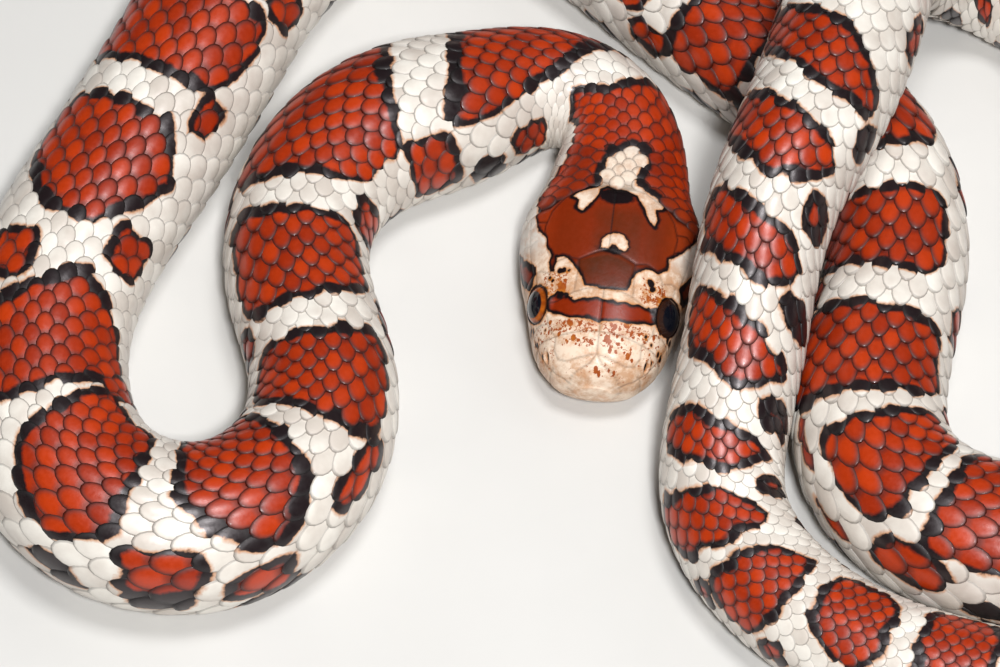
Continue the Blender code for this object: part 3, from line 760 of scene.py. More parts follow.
def add_head(fields, d, a):
    """Adds the head's marks at distances d and millimetres round the head a."""
    wobble = HEAD_WAVER * waver(d, a, HEAD_WAVER_SIZE)
    cap = outline_distance(CROWN_CAP, d, a) + wobble
    add_patch(fields, cap, np.where(d > NECK_BORDER_FROM, NECK_BORDER, CAP_BORDER))
    for streak in EYE_STREAKS:
        add_patch(fields, outline_distance(streak, d, a) + 2 * wobble, STREAK_BORDER)
    # painted shade: darkened ovals behind the crown shields and in front of the crescent
    for middle, reach in SHADE_OVALS:
        fields[:, INNER] = np.maximum(fields[:, INNER], -oval_distance(d, a, middle, reach))
    low, high = NAPE_BORDER
    border = low + (high - low) * smooth(*NAPE_BORDER_RUN, d)
    cut_patch(fields, outline_distance(NAPE_MARK, d, a) + wobble, border)
    cut_patch(fields, outline_distance(CRESCENT, d, a), CRESCENT_BORDER)
    add_patch(fields, outline_distance(SNOUT_BAR, d, a) + wobble, BAR_BORDER)
    fields[:, BROWN] = crown_brown(d, a)
    for at, round_head, radius in HEAD_SPOTS:
        add_black(fields, np.hypot(d - at, a - round_head) - SPOT_SHRINK * radius + wobble)
    for front, rear, inner, outer, amount in SPECK_ZONES:
        along = np.abs(d - (front + rear) / 2) - (rear - front) / 2
        across = np.abs(np.abs(a) - (inner + outer) / 2) - (outer - inner) / 2
        reach = inside(np.maximum(along, across), SPECK_REACH)
        fields[:, SPECK] = np.maximum(fields[:, SPECK], amount * reach)
    for at, spot, radius in SPECK_LIST:
        near = (np.abs(d - at) < SPECK_REACH) & (np.abs(a - spot) < SPECK_REACH)
        gap = np.hypot((d[near] - at) / SPECK_STRETCH, a[near] - spot) - radius
        fields[near, SPECK] = np.maximum(fields[near, SPECK], inside(gap, SPECK_EDGE))


def speck_list():
    """Seeded specks on the snout and over the eyes: (distance, round, radius)."""
    draw = np.random.default_rng(SEED)
    found = []
    for front, rear, inner, outer, count, radius in SPECK_AREAS:
        for _ in range(count):
            side = 1 if draw.random() < 0.5 else -1
            at = draw.uniform(front, rear)
            spot = side * draw.uniform(inner, outer)
            found.append((at, spot, radius * draw.uniform(*SPECK_VARIES)))
    return found + list(SPECKS)


SPECK_LIST = speck_list()


def fields_at(distance, share):
    """The markings' fields on the whole snake."""
    fields = body_fields(distance, share)
    head = distance < HEAD_MARKS_END
    arc = SURFACE.arc(distance[head], share[head])
    part = fields[head]
    add_head(part, distance[head], arc)
    fields[head] = part
    return fields


# The head's shields: sutures in (distance, millimetres round the head), alike on both sides.
SUTURES = (
    ((1.8, 0.0), (7.0, 0.0)),
    ((10.4, 0.0), (15.9, 0.0)),
    ((1.8, 0.0), (1.1, 0.5), (0.6, 1.5), (0.2, 2.2), (-0.05, 3.0), (-0.15, 4.2)),
    ((1.8, 0.0), (1.5, 1.2), (1.25, 2.4), (1.5, 3.3), (2.2, 3.7), (3.1, 3.6)),
    ((3.5, 0.0), (3.45, 1.2), (3.3, 2.3), (3.1, 3.6)),
    ((3.1, 3.6), (3.1, 4.4), (3.1, 5.4), (2.95, 7.1)),
    ((4.3, 4.55), (4.45, 5.6), (4.4, 6.4), (4.3, 7.9)),
    ((3.1, 3.6), (3.6, 4.1), (4.3, 4.55), (5.3, 4.6), (5.9, 4.3)),
    ((7.0, 0.0), (6.95, 1.3), (6.6, 2.4), (6.25, 3.1), (5.95, 3.7), (5.8, 4.4)),
    ((6.6, 2.4), (7.5, 2.35), (8.6, 2.25), (9.4, 2.3)),
    ((10.4, 0.0), (10.1, 0.9), (9.4, 2.3)),
    ((9.4, 2.3), (9.6, 3.2), (9.3, 4.2)),
    ((5.8, 4.4), (6.5, 4.75), (7.6, 4.9), (8.6, 4.7), (9.3, 4.2)),
    ((9.3, 4.2), (9.9, 4.9), (11.0, 5.4), (12.6, 5.6), (14.0, 5.1), (15.2, 4.1), (16.1, 2.6),
     (16.3, 1.5), (15.9, 0.0)),
    ((8.4, 4.8), (8.75, 5.6), (8.75, 6.6), (8.4, 7.9)),
    ((7.9, 6.15), (8.75, 6.1)),
    ((8.75, 6.6), (10.0, 6.9), (11.4, 7.2), (12.8, 7.3), (14.2, 7.5)),
    ((11.4, 5.5), (11.65, 6.3), (11.4, 7.2)),
    ((11.4, 7.2), (11.7, 8.2), (11.4, 9.2)),
    ((13.0, 5.5), (13.3, 6.5), (12.8, 7.3), (13.5, 8.3), (13.3, 9.3)),
)
LABIAL_TOP = 2.0
LABIAL_LEAN = 0.25
LABIAL_LEAD = 0.6
CHIN_LEAD = 0.5
LABIAL_BREAKS = (0.9, 2.7, 4.6, 6.4, 8.3, 10.6, 13.2, 15.4)
CHIN_TOP = 1.9
CHIN_BREAKS = (1.5, 3.0, 4.8, 6.6, 8.6, 10.9, 13.3)
CHIN_MIDLINE = (1.6, 9.5)
CHIN_CROSSES = (2.3, 5.6, 9.5)
CHIN_ARC = (0.84, 1.16, 0.004)
SUTURE_STEP = 0.06
LIP_SAMPLES = 40
SUTURE_DEPTH = 0.035
SUTURE_WIDTH = 0.09
SHIELD_BULGE = 0.04
SHIELD_BULGE_REACH = 0.45
SHIELD_FADE = 0.6
SUTURE_RIM = 0.12
MOUTH_DEPTH = 0.30
MOUTH_WIDTH = 0.11
MOUTH_END = 14.2
MOUTH_FADE = 1.0
MOUTH_RIM = 0.16
JAW_INSET = 0.13
JAW_EDGE = 0.25
JAW_REACH = 2.2
JAW_END = (14.0, 16.5)
NOSTRIL = (1.95, 4.55)
NOSTRIL_RADIUS = (0.36, 0.28)
NOSTRIL_DEPTH = 0.45
NOSTRIL_EDGE = (0.45, 1.1)
NOSTRIL_LIP = (0.07, 1.45, 0.35)
# NOSTRIL_RIM and NOSTRIL_SHADE paint shade into the nostril pits
NOSTRIL_RIM = 0.4
NOSTRIL_SHADE = 1.2
RELIEF_END = 17.5
SCALE_START = (
    # millimetres round the head, distance where the scales begin
    (0.0, 16.1), (2.4, 16.5), (4.0, 15.5), (5.4, 14.4), (7.5, 14.3), (9.5, 13.6),
    (11.0, 15.4), (12.4, 15.0), (13.6, 11.5), (15.0, 10.2), (20.0, 9.8),
)
EYE_AT = 6.5
EYE_SIDE = 4.65
EYE_LEVEL = 5.6
EYE_WAY = (0.84, 0.48, -0.25)
EYE_REACH = 0.93
EYE_SINK = 0.20
EYE_RIM = 1.55
EYE_BALL = 2.4
EYE_SEAT_LEVEL = EYE_REACH - EYE_SINK
EYE_MIDDLE = EYE_SEAT_LEVEL - math.sqrt(EYE_BALL ** 2 - EYE_RIM ** 2)
EYE_EDGE = 1.70
EYE_BACK = 1.3
EYE_SEAT = 0.50
EYE_LINE = 0.12
EYE_TUCK = 0.22
EYE_TUCK_BREADTH = 0.3
PUPIL = 1.10
EYE_BEAD = (0.06, 0.1, 0.1)
EYE_HEIGHTS = (-0.6, 2.5)
EYE_RINGS = 40
EYE_BACK_RINGS = 10
EYE_TURNS = 64
GAZE_FULL = 2.0


def head_vector(ahead, side, up):
    """A way in the head's own directions."""
    return np.array([*(HEAD_WAY * ahead + HEAD_OUT * side), up])


def head_point(distance, side, level):
    """A place on the head, by distance from the snout."""
    plan = HEAD_BASE + HEAD_WAY * (distance - NECK_START) + HEAD_OUT * side - PLAN_CENTRE
    return np.array([*plan, level])


def eye_axis(side):
    """The way that an eye looks."""
    way = head_vector(EYE_WAY[2], EYE_WAY[0] * side, EYE_WAY[1])
    return way / np.linalg.norm(way)


def suture_lines():
    """Every suture of one half of the head as (distances, millimetres round)."""
    lines = [np.array(line, float) for line in SUTURES]

    def along(offset, breaks, first, last):
        d = np.linspace(first, last, LIP_SAMPLES)
        lines.append(np.stack([d, SURFACE.mouth(d) + offset], 1))
        for at in breaks:
            level = SURFACE.mouth(at)
            lean = LABIAL_LEAN if offset < 0 else -LABIAL_LEAN
            lines.append(np.array([(at + lean, level + offset), (at, level)]))

    along(-LABIAL_TOP, LABIAL_BREAKS, LABIAL_BREAKS[0] - LABIAL_LEAD, LABIAL_BREAKS[-1])
    along(CHIN_TOP, CHIN_BREAKS, CHIN_BREAKS[0] - CHIN_LEAD, CHIN_BREAKS[-1])
    return lines


def dense(line):
    """Points close together along a line."""
    steps = np.linalg.norm(np.diff(line, axis=0), axis=1)
    run = np.concatenate(([0], np.cumsum(steps)))
    at = np.arange(0, run[-1] + SUTURE_STEP, SUTURE_STEP)
    return np.stack([np.interp(at, run, line[:, i]) for i in (0, 1)], -1)


def suture_points():
    """Points on the snake's surface along every suture."""
    spots = np.concatenate([dense(line) for line in suture_lines()])
    share = SURFACE.share(spots[:, 0], spots[:, 1])
    pairs = [np.stack([spots[:, 0], side * share], -1) for side in (-1, 1)]
    chin = np.arange(*CHIN_MIDLINE, SUTURE_STEP)
    pairs.append(np.stack([chin, np.ones_like(chin)], -1))
    for at in CHIN_CROSSES:
        wrapped = (np.arange(*CHIN_ARC) + 1) % 2 - 1
        pairs.append(np.stack([np.full_like(wrapped, at), wrapped], -1))
    pairs = np.concatenate(pairs)
    return SURFACE.at(pairs[:, 0], pairs[:, 1])[0]


def nearest_suture(places, wanted):
    """Millimetres from each wanted place to the nearest suture."""
    points = suture_points()
    tree = KDTree(len(points))
    for number, point in enumerate(points):
        tree.insert(point, number)
    tree.balance()
    found = np.full(len(places), FAR)
    for number in np.nonzero(wanted)[0]:
        found[number] = tree.find(places[number])[2]
    return found


def scale_start(distance, share):
    """The distance where the scales begin behind the shields."""
    return stations(SCALE_START, np.abs(SURFACE.arc(distance, share)))


def skin_rows():
    """Distances of the skin's rings on the head and along the body."""
    cap = np.linspace(-CAP_REACH * SNOUT_CAP, 0, CAP_SKIN_STEPS)
    head = np.arange(HEAD_SKIN_SPACING, HEAD_SKIN_END, HEAD_SKIN_SPACING)
    body = np.arange(HEAD_SKIN_END, BODY_LENGTH - SKIN_TIP, BODY_SKIN_SPACING)
    return np.concatenate([cap, head]), body


def coat_depth(distance):
    """How far the skin lies under the scales' outline, less where the snake is slim."""
    width = GIRTH_SHAPE.at(np.clip(distance, 0, BODY_LENGTH))[..., 0]
    return np.minimum(SKIN_DEPTH, width * SKIN_SLIM)


def skin_depth(distance, share):
    """How far the skin lies under the outline: not at all on the shields."""
    begin = scale_start(distance, share)
    return smooth(begin - SKIN_STEP, begin + SKIN_STEP, distance) * coat_depth(distance)


def past_mouth(distance, share):
    """Millimetres round the head from the line of the mouth, negative above it."""
    return np.abs(SURFACE.arc(distance, share)) - SURFACE.mouth(distance)


def head_relief(distance, share, sutures):
    """Height of the shields, lips and nostrils over the plain head, and the nostrils alone."""
    begin = scale_start(distance, share)
    bulge = SHIELD_BULGE * (1 - np.exp(-sutures / SHIELD_BULGE_REACH)) - SHIELD_BULGE
    shields = bulge - SUTURE_DEPTH * bell(sutures, SUTURE_WIDTH)
    shields *= fade(begin - SHIELD_FADE, begin, distance)
    gap = past_mouth(distance, share)
    lips = -MOUTH_DEPTH * bell(gap, MOUTH_WIDTH)
    lips *= fade(MOUTH_END - MOUTH_FADE, MOUTH_END, distance)
    jaw = -JAW_INSET * smooth(0, JAW_EDGE, gap) * np.exp(-np.maximum(gap, 0) / JAW_REACH)
    jaw *= fade(*JAW_END, distance)
    along = (distance - NOSTRIL[0]) / NOSTRIL_RADIUS[0]
    across = (np.abs(SURFACE.arc(distance, share)) - NOSTRIL[1]) / NOSTRIL_RADIUS[1]
    nose = np.hypot(along, across)
    pit = -NOSTRIL_DEPTH * fade(*NOSTRIL_EDGE, nose)
    rise, middle, width = NOSTRIL_LIP
    return shields + lips + jaw + pit + rise * bell(nose - middle, width), pit


def sink_eyes(places):
    """Seats the skin round each eye; returns the distance outside each eye's rim."""
    outside = np.full(len(places), FAR)
    bead, bead_place, bead_width = EYE_BEAD
    for side in (-1, 1):
        axis = eye_axis(side)
        offset = places - head_point(EYE_AT, side * EYE_SIDE, EYE_LEVEL)
        height = offset @ axis
        away = np.linalg.norm(offset - height[:, None] * axis, axis=1)
        near = (away < EYE_RIM + EYE_SEAT) & (height > EYE_HEIGHTS[0]) & (height < EYE_HEIGHTS[1])
        outer = smooth(EYE_RIM, EYE_RIM + EYE_SEAT, away)
        wanted = EYE_SEAT_LEVEL + (height - EYE_SEAT_LEVEL) * outer
        wanted += bead * bell(away - EYE_RIM - bead_place, bead_width)
        wanted -= EYE_TUCK * smooth(0, EYE_TUCK_BREADTH, EYE_RIM - away)
        places[near] += ((wanted - height)[:, None] * axis)[near]
        outside[near] = (away - EYE_RIM)[near]
    return outside


def face_corners(quads, triangles):
    """The faces' corners in the order of the mesh."""
    return np.concatenate([quads.ravel(), triangles.ravel()])


def add_mesh(name, places, quads, triangles, data, loop_uv):
    """A mesh object from places in millimetres, faces, point data and a UV a corner."""
    mesh = bpy.data.meshes.new(name)
    corners = face_corners(quads, triangles).astype(np.int32)
    fans = len(quads) * 4 + np.arange(len(triangles)) * 3
    starts = np.concatenate([np.arange(len(quads)) * 4, fans]).astype(np.int32)
    mesh.vertices.add(len(places))
    mesh.vertices.foreach_set("co", (places * MM).astype(np.float32).ravel())
    mesh.loops.add(len(corners))
    mesh.loops.foreach_set("vertex_index", corners)
    mesh.polygons.add(len(starts))
    mesh.polygons.foreach_set("loop_start", starts)
    mesh.update(calc_edges=True)
    mesh.shade_smooth()
    for key, values in data.items():
        layer = mesh.attributes.new(key, "FLOAT_COLOR", "POINT")
        layer.data.foreach_set("color", values.astype(np.float32).ravel())
    layer = mesh.uv_layers.new(name="OFBake")
    layer.data.foreach_set("uv", loop_uv.astype(np.float32).ravel())
    mesh.validate()
    thing = bpy.data.objects.new(name, mesh)
    bpy.context.scene.collection.objects.link(thing)
    return thing


def unwrap(distance, share, strip):
    """Place on the unwrapped skin: strips of the body's length, side by side."""
    strips = math.ceil((BODY_LENGTH + SNOUT_CAP) / UV_STRIP)
    across = (distance + SNOUT_CAP - strip * UV_STRIP) / UV_STRIP
    up = (strip + 0.5 + UV_SIDE * share) / strips
    return np.stack([UV_MARGIN + (1 - 2 * UV_MARGIN) * across, up], -1)


def ring_grid(rows, columns):
    """Faces between rings of points."""
    k, m = np.meshgrid(np.arange(rows - 1), np.arange(columns), indexing="ij")
    k, m = k.ravel() * columns, m.ravel()
    after = (m + 1) % columns
    return np.stack([k + m, k + after, k + columns + after, k + columns + m], -1)


def fan(first, count, tip):
    """Triangles from a ring of points to its tip."""
    k = np.arange(count)
    return np.stack([first + k, first + (k + 1) % count, np.full(count, tip)], -1)


def skin_colours(distance, share, sutures, pit, outside_eyes):
    """The skin's point colours: markings, dark lips, grooves, eye rims, and painted shade in nostrils
    and under scales.
    """
    marks = fields_at(distance, share)
    mouth = np.clip(1 - np.abs(past_mouth(distance, share)) / MOUTH_RIM, 0, 1)
    rims = (
        np.clip(1 - sutures / SUTURE_RIM, 0, 1),
        mouth * (distance < MOUTH_END),
        # painted shade in the nostril pits
        np.clip(-pit / NOSTRIL_DEPTH, 0, 1) * NOSTRIL_SHADE,
        # painted shade on the skin where it sinks under the scales
        smooth(0, SKIN_RIM, skin_depth(distance, share) / SKIN_DEPTH),
    )
    # painted shade: the nostril pits drawn black
    add_black(marks, NOSTRIL_RIM * (0.5 + pit / NOSTRIL_DEPTH))
    add_black(marks, outside_eyes - EYE_LINE)
    even = np.full(len(distance), 0.5)
    shade_and_tone = np.stack([np.max(rims, axis=0), even, creaminess(distance, share), 0 * even], -1)
    return marks, shade_and_tone


def make_skin():
    """One closed skin, fine on the head and coarser along the body."""
    head_rows, body_rows = skin_rows()
    fine, coarse = HEAD_SKIN_TURNS, HEAD_SKIN_TURNS // SKIN_TURNS_SHARE
    fine_shares = -1 + 2 * np.arange(fine) / fine
    coarse_shares = -1 + 2 * np.arange(coarse) / coarse
    distance = np.concatenate([np.repeat(head_rows, fine), np.repeat(body_rows, coarse)])
    around = [np.tile(fine_shares, len(head_rows)), np.tile(coarse_shares, len(body_rows))]
    share = np.concatenate(around)
    places, normals = SURFACE.at(distance, share)
    on_head = distance < RELIEF_END
    sutures = nearest_suture(places, on_head)
    relief, pit = head_relief(distance, share, sutures)
    height = np.where(on_head, relief, 0) - skin_depth(distance, share)
    places = places + normals * height[:, None]
    outside_eyes = sink_eyes(places)
    places[:, 2] = np.maximum(places[:, 2], SKIN_FLOOR)
    marks, shade_and_tone = skin_colours(distance, share, sutures, pit, outside_eyes)
    snout = head_point(0, 0, SNOUT_LEVEL) - head_vector(SNOUT_BULGE, 0, 0)
    tail = SURFACE.at(np.array([BODY_LENGTH]), np.array([0.0]))[0][0] * (1, 1, 0.5)
    count = len(places)
    own = np.concatenate([np.arange(count), [0, count - 1]])
    data = {"marks": marks[own], "shade_and_tone": shade_and_tone[own]}
    quads, triangles = skin_faces(len(head_rows), len(body_rows), fine, coarse, count)
    distance = np.concatenate([distance, [-SNOUT_CAP, BODY_LENGTH]])
    share = np.concatenate([share, [0, 0]])
    uv = skin_uv(face_corners(quads, triangles), len(quads), distance, share)
    return add_mesh("skin", np.concatenate([places, [snout, tail]]), quads, triangles, data, uv)


def skin_faces(head_count, body_count, fine, coarse, count):
    """Faces of both stretches of skin, of the step between them and of the two tips."""
    quads = np.concatenate([
        ring_grid(head_count, fine),
        ring_grid(body_count, coarse) + head_count * fine,
    ])
    triangles = []
    last = (head_count - 1) * fine
    first = head_count * fine
    for m in range(coarse):
        after = first + (m + 1) % coarse
        middle = m * SKIN_TURNS_SHARE + SKIN_TURNS_SHARE // 2
        for k in range(SKIN_TURNS_SHARE):
            a = last + m * SKIN_TURNS_SHARE + k
            b = last + (m * SKIN_TURNS_SHARE + k + 1) % fine
            near = first + m if m * SKIN_TURNS_SHARE + k < middle else after
            triangles.append((a, b, near))
        triangles.append((last + middle, after, first + m))
    snout = fan(0, fine, count)[:, [1, 0, 2]]
    tail = fan(count - coarse, coarse, count + 1)
    return quads, np.concatenate([triangles, snout, tail])


def skin_uv(corners, quad_count, distance, share):
    """Corner UVs, each face kept whole in its own strip and on its own side of the belly."""
    d, f = distance[corners], share[corners].copy()
    triangles = np.arange((len(corners) - 4 * quad_count) // 3)
    face = np.concatenate([np.repeat(np.arange(quad_count), 4), quad_count + np.repeat(triangles, 3)])
    faces = face[-1] + 1
    low = np.full(faces, np.inf)
    np.minimum.at(low, face, d)
    high = np.full(faces, -np.inf)
    np.maximum.at(high, face, f)
    wraps = high[face] - f > 1
    f[wraps] += 2
    strip = np.floor((low[face] + SNOUT_CAP) / UV_STRIP)
    return unwrap(d, f, strip)


def pitch_table():
    """Distances and how many scale lengths lie before each."""
    distance = np.arange(PITCH_FROM, BODY_LENGTH, PITCH_GRAIN)
    step = PITCH_GRAIN / stations(PITCH, distance)
    return distance, np.cumsum(step)


def row_share(row, distance):
    """The share at which a row of scales lies, counted from the middle of the back."""
    size = np.abs(row)
    return np.sign(row) * (stations(ROW_STEP, distance) * size + ROW_GROWTH * size ** 2)


def front_shade(u):
    """Painted shadow on a scale's front, where it comes out from under the one before."""
    return SCALE_FRONT_SHADE * float(smooth(*SCALE_FRONT, -u))


def scale_template():
    """(along, across, drop, rim) of a scale's points, in half lengths and half widths."""
    turn = np.arange(SCALE_SEGMENTS) * 2 * math.pi / SCALE_SEGMENTS
    u = power(np.cos(turn), 2 / SCALE_ROUNDNESS)
    v = power(np.sin(turn), 2 / SCALE_ROUNDNESS)
    points = [(0.0, 0.0, 0.0, 0.0)]
    for r, drop, rim in SCALE_PROFILE:
        points += [(r * a, r * b, drop, max(rim, front_shade(r * a))) for a, b in zip(u, v)]
    points += [(a, b, -1.0, 1.0) for a, b in zip(u, v)]
    return np.array(points)


def scale_faces():
    """One scale's faces: rings of quads and a fan in the middle."""
    quads = ring_grid(len(SCALE_PROFILE) + 1, SCALE_SEGMENTS) + 1
    return quads, fan(1, SCALE_SEGMENTS, 0)[:, [2, 1, 0]]


def scale_centres():
    """Distances and shares of every scale of the back and flanks."""
    table, phase = pitch_table()
    last = int(phase[-1])
    found = []
    for row in range(-ROWS, ROWS + 1):
        at = np.arange(1, last) + (0.5 if row % 2 else 0.0)
        distance = np.interp(at, phase, table)
        share = row_share(np.full(len(at), float(row)), distance)
        keep = (np.abs(share) < ROW_LIMIT) & (distance > scale_start(distance, share) + SCALE_LEAD)
        keep &= distance < BODY_LENGTH - TAIL_CAP
        found.append(np.stack([distance[keep], share[keep]], -1))
    return np.concatenate(found)


def creaminess(distance, share):
    """How far the white turns to the snout's cream: on the snout and the nape's mark."""
    arc = np.abs(SURFACE.arc(distance, share))
    nape = NAPE_CREAM * fade(*NAPE_CREAM_END, distance) * fade(*NAPE_CREAM_SIDE, arc)
    return np.maximum(fade(*SNOUT_CREAM_END, distance), nape)


def colour_data(points, centres, rim, tone, offset, tip):
    """Point colours, each scale's drawn part of the way to the colour at its centre."""
    distance, share = centres + (points - centres) * SCALE_HOLD
    marks = fields_at(distance, (share + 1) % 2 - 1)
    marks[:, [OUTER, INNER]] += np.reshape(offset, (-1, 1))
    cream = creaminess(points[0], (points[1] + 1) % 2 - 1)
    return {"marks": marks, "shade_and_tone": np.stack([rim, tone, cream, tip], -1)}


def squeeze(distance, share):
    """The surface's length for each length of midline, at most 1: less inside a bend."""
    ahead = SURFACE.at(distance + SQUEEZE_REACH, share)[0]
    behind = SURFACE.at(distance - SQUEEZE_REACH, share)[0]
    run = np.linalg.norm(ahead - behind, axis=-1)
    return np.clip(run / (2 * SQUEEZE_REACH), SQUEEZE_LEAST, 1)


def seated(height, drop, distance):
    """Heights kept over the skin, apart from the roots, which lie just inside it."""
    floor = -coat_depth(distance) - SCALE_ROOT
    return np.where(drop < 0, floor, np.maximum(height, floor + SCALE_CLEAR))


def raised(distance, share, height):
    """Places over the snake's outline, none under the floor."""
    places, normals = SURFACE.at(distance.ravel(), share.ravel())
    places = places + normals * height.ravel()[:, None]
    places[:, 2] = np.maximum(places[:, 2], 0)
    return places


def copied(faces, count, size):
    """One piece's faces, repeated for each of the pieces."""
    first = (np.arange(count) * size)[:, None, None]
    return (faces + first).reshape(-1, faces.shape[1])


def patches(distance, share, template):
    """UVs, each piece a small patch at its root's place on the unwrapped skin."""
    strip = np.floor((distance + SNOUT_CAP) / UV_STRIP)
    root = unwrap(distance, share, strip)
    return (root[:, None] + UV_PATCH * template).reshape(-1, 2)


def make_scales(name, centres, draw):
    """Overlapping scales of the back and flanks, as one mesh."""
    template = scale_template()
    count, size = len(centres), len(template)
    s, f = centres[:, :1], centres[:, 1:]
    pitch = stations(PITCH, s)
    step = stations(ROW_STEP, s) + 2 * ROW_GROWTH * np.abs(f) / ROW_GROWTH_SHARE
    half_length = SCALE_HALF_LENGTH * pitch * draw.uniform(*SCALE_VARIES, (count, 1))
    half_width = SCALE_HALF_WIDTH * step * draw.uniform(*SCALE_VARIES, (count, 1))
    u, v, drop, rim = template.T
    distance = s + u * half_length
    share = f + v * half_width
    tilt = SCALE_TILT * squeeze(s, f)
    dome = SCALE_DOME * (1 - np.minimum(np.hypot(u, v), 1) ** 2)
    height = -tilt * SCALE_HALF_LENGTH * (1 - u) + dome
    height = (height - np.maximum(drop, 0)) * (pitch / PITCH_USUAL)
    height = seated(height + draw.uniform(*SCALE_LIFTS, (count, 1)), drop, s)
    tone = np.repeat(draw.uniform(0, 1, count), size)
    offset = np.repeat(draw.uniform(-SCALE_RAGGED, SCALE_RAGGED, count), size)
    tip = smooth(SCALE_TIP, 1.0, u) * fade(*SCALE_TIP_SIDES, np.abs(v))
    points = np.stack([distance.ravel(), share.ravel()])
    middles = np.repeat(centres, size, axis=0).T
    data = colour_data(points, middles, np.tile(rim, count), tone, offset, np.tile(tip, count))
    quads, triangles = (copied(faces, count, size) for faces in scale_faces())
    uv = patches(s[:, 0], f[:, 0], template[:, :2])[face_corners(quads, triangles)]
    return add_mesh(name, raised(distance, share, height), quads, triangles, data, uv)


def make_belly(name, draw):
    """Wide plates under the belly, one for each scale length."""
    table, phase = pitch_table()
    distance = np.interp(np.arange(1, int(phase[-1])), phase, table)
    distance = distance[(distance > BELLY_FROM) & (distance < BODY_LENGTH - TAIL_CAP)]
    u, drop, rim = np.array(BELLY_PROFILE).T[:, :, None]
    v = np.linspace(-1, 1, BELLY_STEPS + 1)
    count, rows, columns = len(distance), len(u), len(v)
    size = rows * columns
    middle = distance[:, None, None]
    pitch = stations(PITCH, middle)
    rounded = 1 - BELLY_ROUNDED * np.abs(v) ** BELLY_ROUND_POWER
    s = middle + u * rounded * SCALE_HALF_LENGTH * pitch
    f = 1 + v * (1 - BELLY_SHARE + BELLY_LAP) + 0 * s
    height = -SCALE_TILT * SCALE_HALF_LENGTH * (1 - u) - np.maximum(drop, 0)
    height = height - smooth(*BELLY_SIDE_DROP, np.abs(v)) * BELLY_EDGE
    height = height * pitch / PITCH_USUAL
    height = seated(height, drop, middle)
    tone = np.repeat(draw.uniform(0, 1, count), size)
    rims = np.maximum(rim, smooth(*BELLY_SIDE_RIM, np.abs(v)))
    rims = np.broadcast_to(rims, s.shape).ravel()
    points = np.stack([s.ravel(), f.ravel()])
    middles = np.stack([np.repeat(distance, size), f.ravel()])
    data = colour_data(points, middles, rims, tone, 0.0, 0 * rims)
    k, m = np.meshgrid(np.arange(rows - 1) * columns, np.arange(columns - 1), indexing="ij")
    first = (k + m).ravel()
    quads = np.stack([first, first + 1, first + columns + 1, first + columns], -1)
    quads = copied(quads, count, size)
    template = np.stack(np.meshgrid(u[:, 0], v, indexing="ij"), -1).reshape(-1, 2)
    uv = patches(distance, np.full(count, BELLY_ROOT_SHARE), template)[quads.ravel()]
    return add_mesh(name, raised(s, f, height), quads, np.zeros((0, 3), int), data, uv)


def eye_profile():
    """(radius, height) of the eye's rings: the dome in front, then the round back."""
    edge = math.asin(EYE_EDGE / EYE_BALL)
    tilt = np.linspace(0, 1, EYE_RINGS + 1)[1:] * edge
    behind = np.linspace(0, 1, EYE_BACK_RINGS + 1)[1:-1] * math.pi / 2
    radius = np.concatenate([EYE_BALL * np.sin(tilt), EYE_EDGE * np.cos(behind)])
    back = EYE_BALL * math.cos(edge) - EYE_BACK * np.sin(behind)
    return radius, np.concatenate([EYE_BALL * np.cos(tilt), back])


def make_eye(name, side):
    """A domed eye, with the distance from its middle held as point data."""
    turns = EYE_TURNS
    radius, height = eye_profile()
    axis = eye_axis(side)
    centre = head_point(EYE_AT, side * EYE_SIDE, EYE_LEVEL) + axis * EYE_MIDDLE
    up = np.array([0, 0, 1.0]) - axis * axis[2]
    up /= np.linalg.norm(up)
    across = np.cross(axis, up)
    turn = np.arange(turns) * 2 * math.pi / turns
    spokes = np.cos(turn)[None, :, None] * up + np.sin(turn)[None, :, None] * across
    ring = height[:, None, None] * axis + radius[:, None, None] * spokes
    back = EYE_BALL * math.cos(math.asin(EYE_EDGE / EYE_BALL)) - EYE_BACK
    ends = [centre + EYE_BALL * axis, centre + back * axis]
    places = centre + ring.reshape(-1, 3)
    count = len(places)
    places = np.concatenate([places, ends])
    gaze = np.where(np.arange(len(radius)) < EYE_RINGS, radius, GAZE_FULL)
    gaze = np.concatenate([np.repeat(gaze, turns), [0, GAZE_FULL]])
    around = np.concatenate([np.tile(turn / (2 * math.pi), len(radius)), [0, 0]])
    shaded = np.full_like(gaze, side > 0)
    data = np.stack([gaze / GAZE_FULL, around, shaded, np.ones_like(gaze)], -1)
    quads = ring_grid(len(radius), turns)
    rear = fan(count - turns, turns, count + 1)
    triangles = np.concatenate([fan(0, turns, count), rear[:, [1, 0, 2]]])
    spots = places[face_corners(quads, triangles)] - centre
    uv = np.stack([spots @ up, spots @ across], -1) / 4 + 0.5
    return add_mesh(name, places, quads[:, ::-1], triangles, {"gaze": data}, uv)


# Materials
WHITE_LIGHT = (0.82, 0.78, 0.71)
WHITE_SHADE = (0.58, 0.52, 0.46)
RED_LIGHT = (0.46, 0.036, 0.0012)
RED_SHADE = (0.29, 0.019, 0.0008)
BLACK_COLOUR = (0.011, 0.006, 0.007)
OCHRE_COLOUR = (0.50, 0.17, 0.02)
CROWN_COLOUR = (0.12, 0.026, 0.007)
SNOUT_LIGHT = (0.76, 0.61, 0.48)
SNOUT_SHADE = (0.52, 0.32, 0.20)
SPECK_COLOUR = (0.30, 0.065, 0.012)
IRIS_DARK = (0.24, 0.045, 0.004)
IRIS_LIGHT = (0.42, 0.10, 0.008)
IRIS_SHADED = (0.012, 0.008, 0.008)
EYE_RING_COLOUR = (0.03, 0.008, 0.003)
PUPIL_COLOUR = (0.004, 0.005, 0.009)
FLOOR_DARK = (0.60, 0.59, 0.57)
FLOOR_LIGHT = (0.66, 0.65, 0.63)
SKIN_TINT = (1.0, 0.93, 0.95, 1.0)

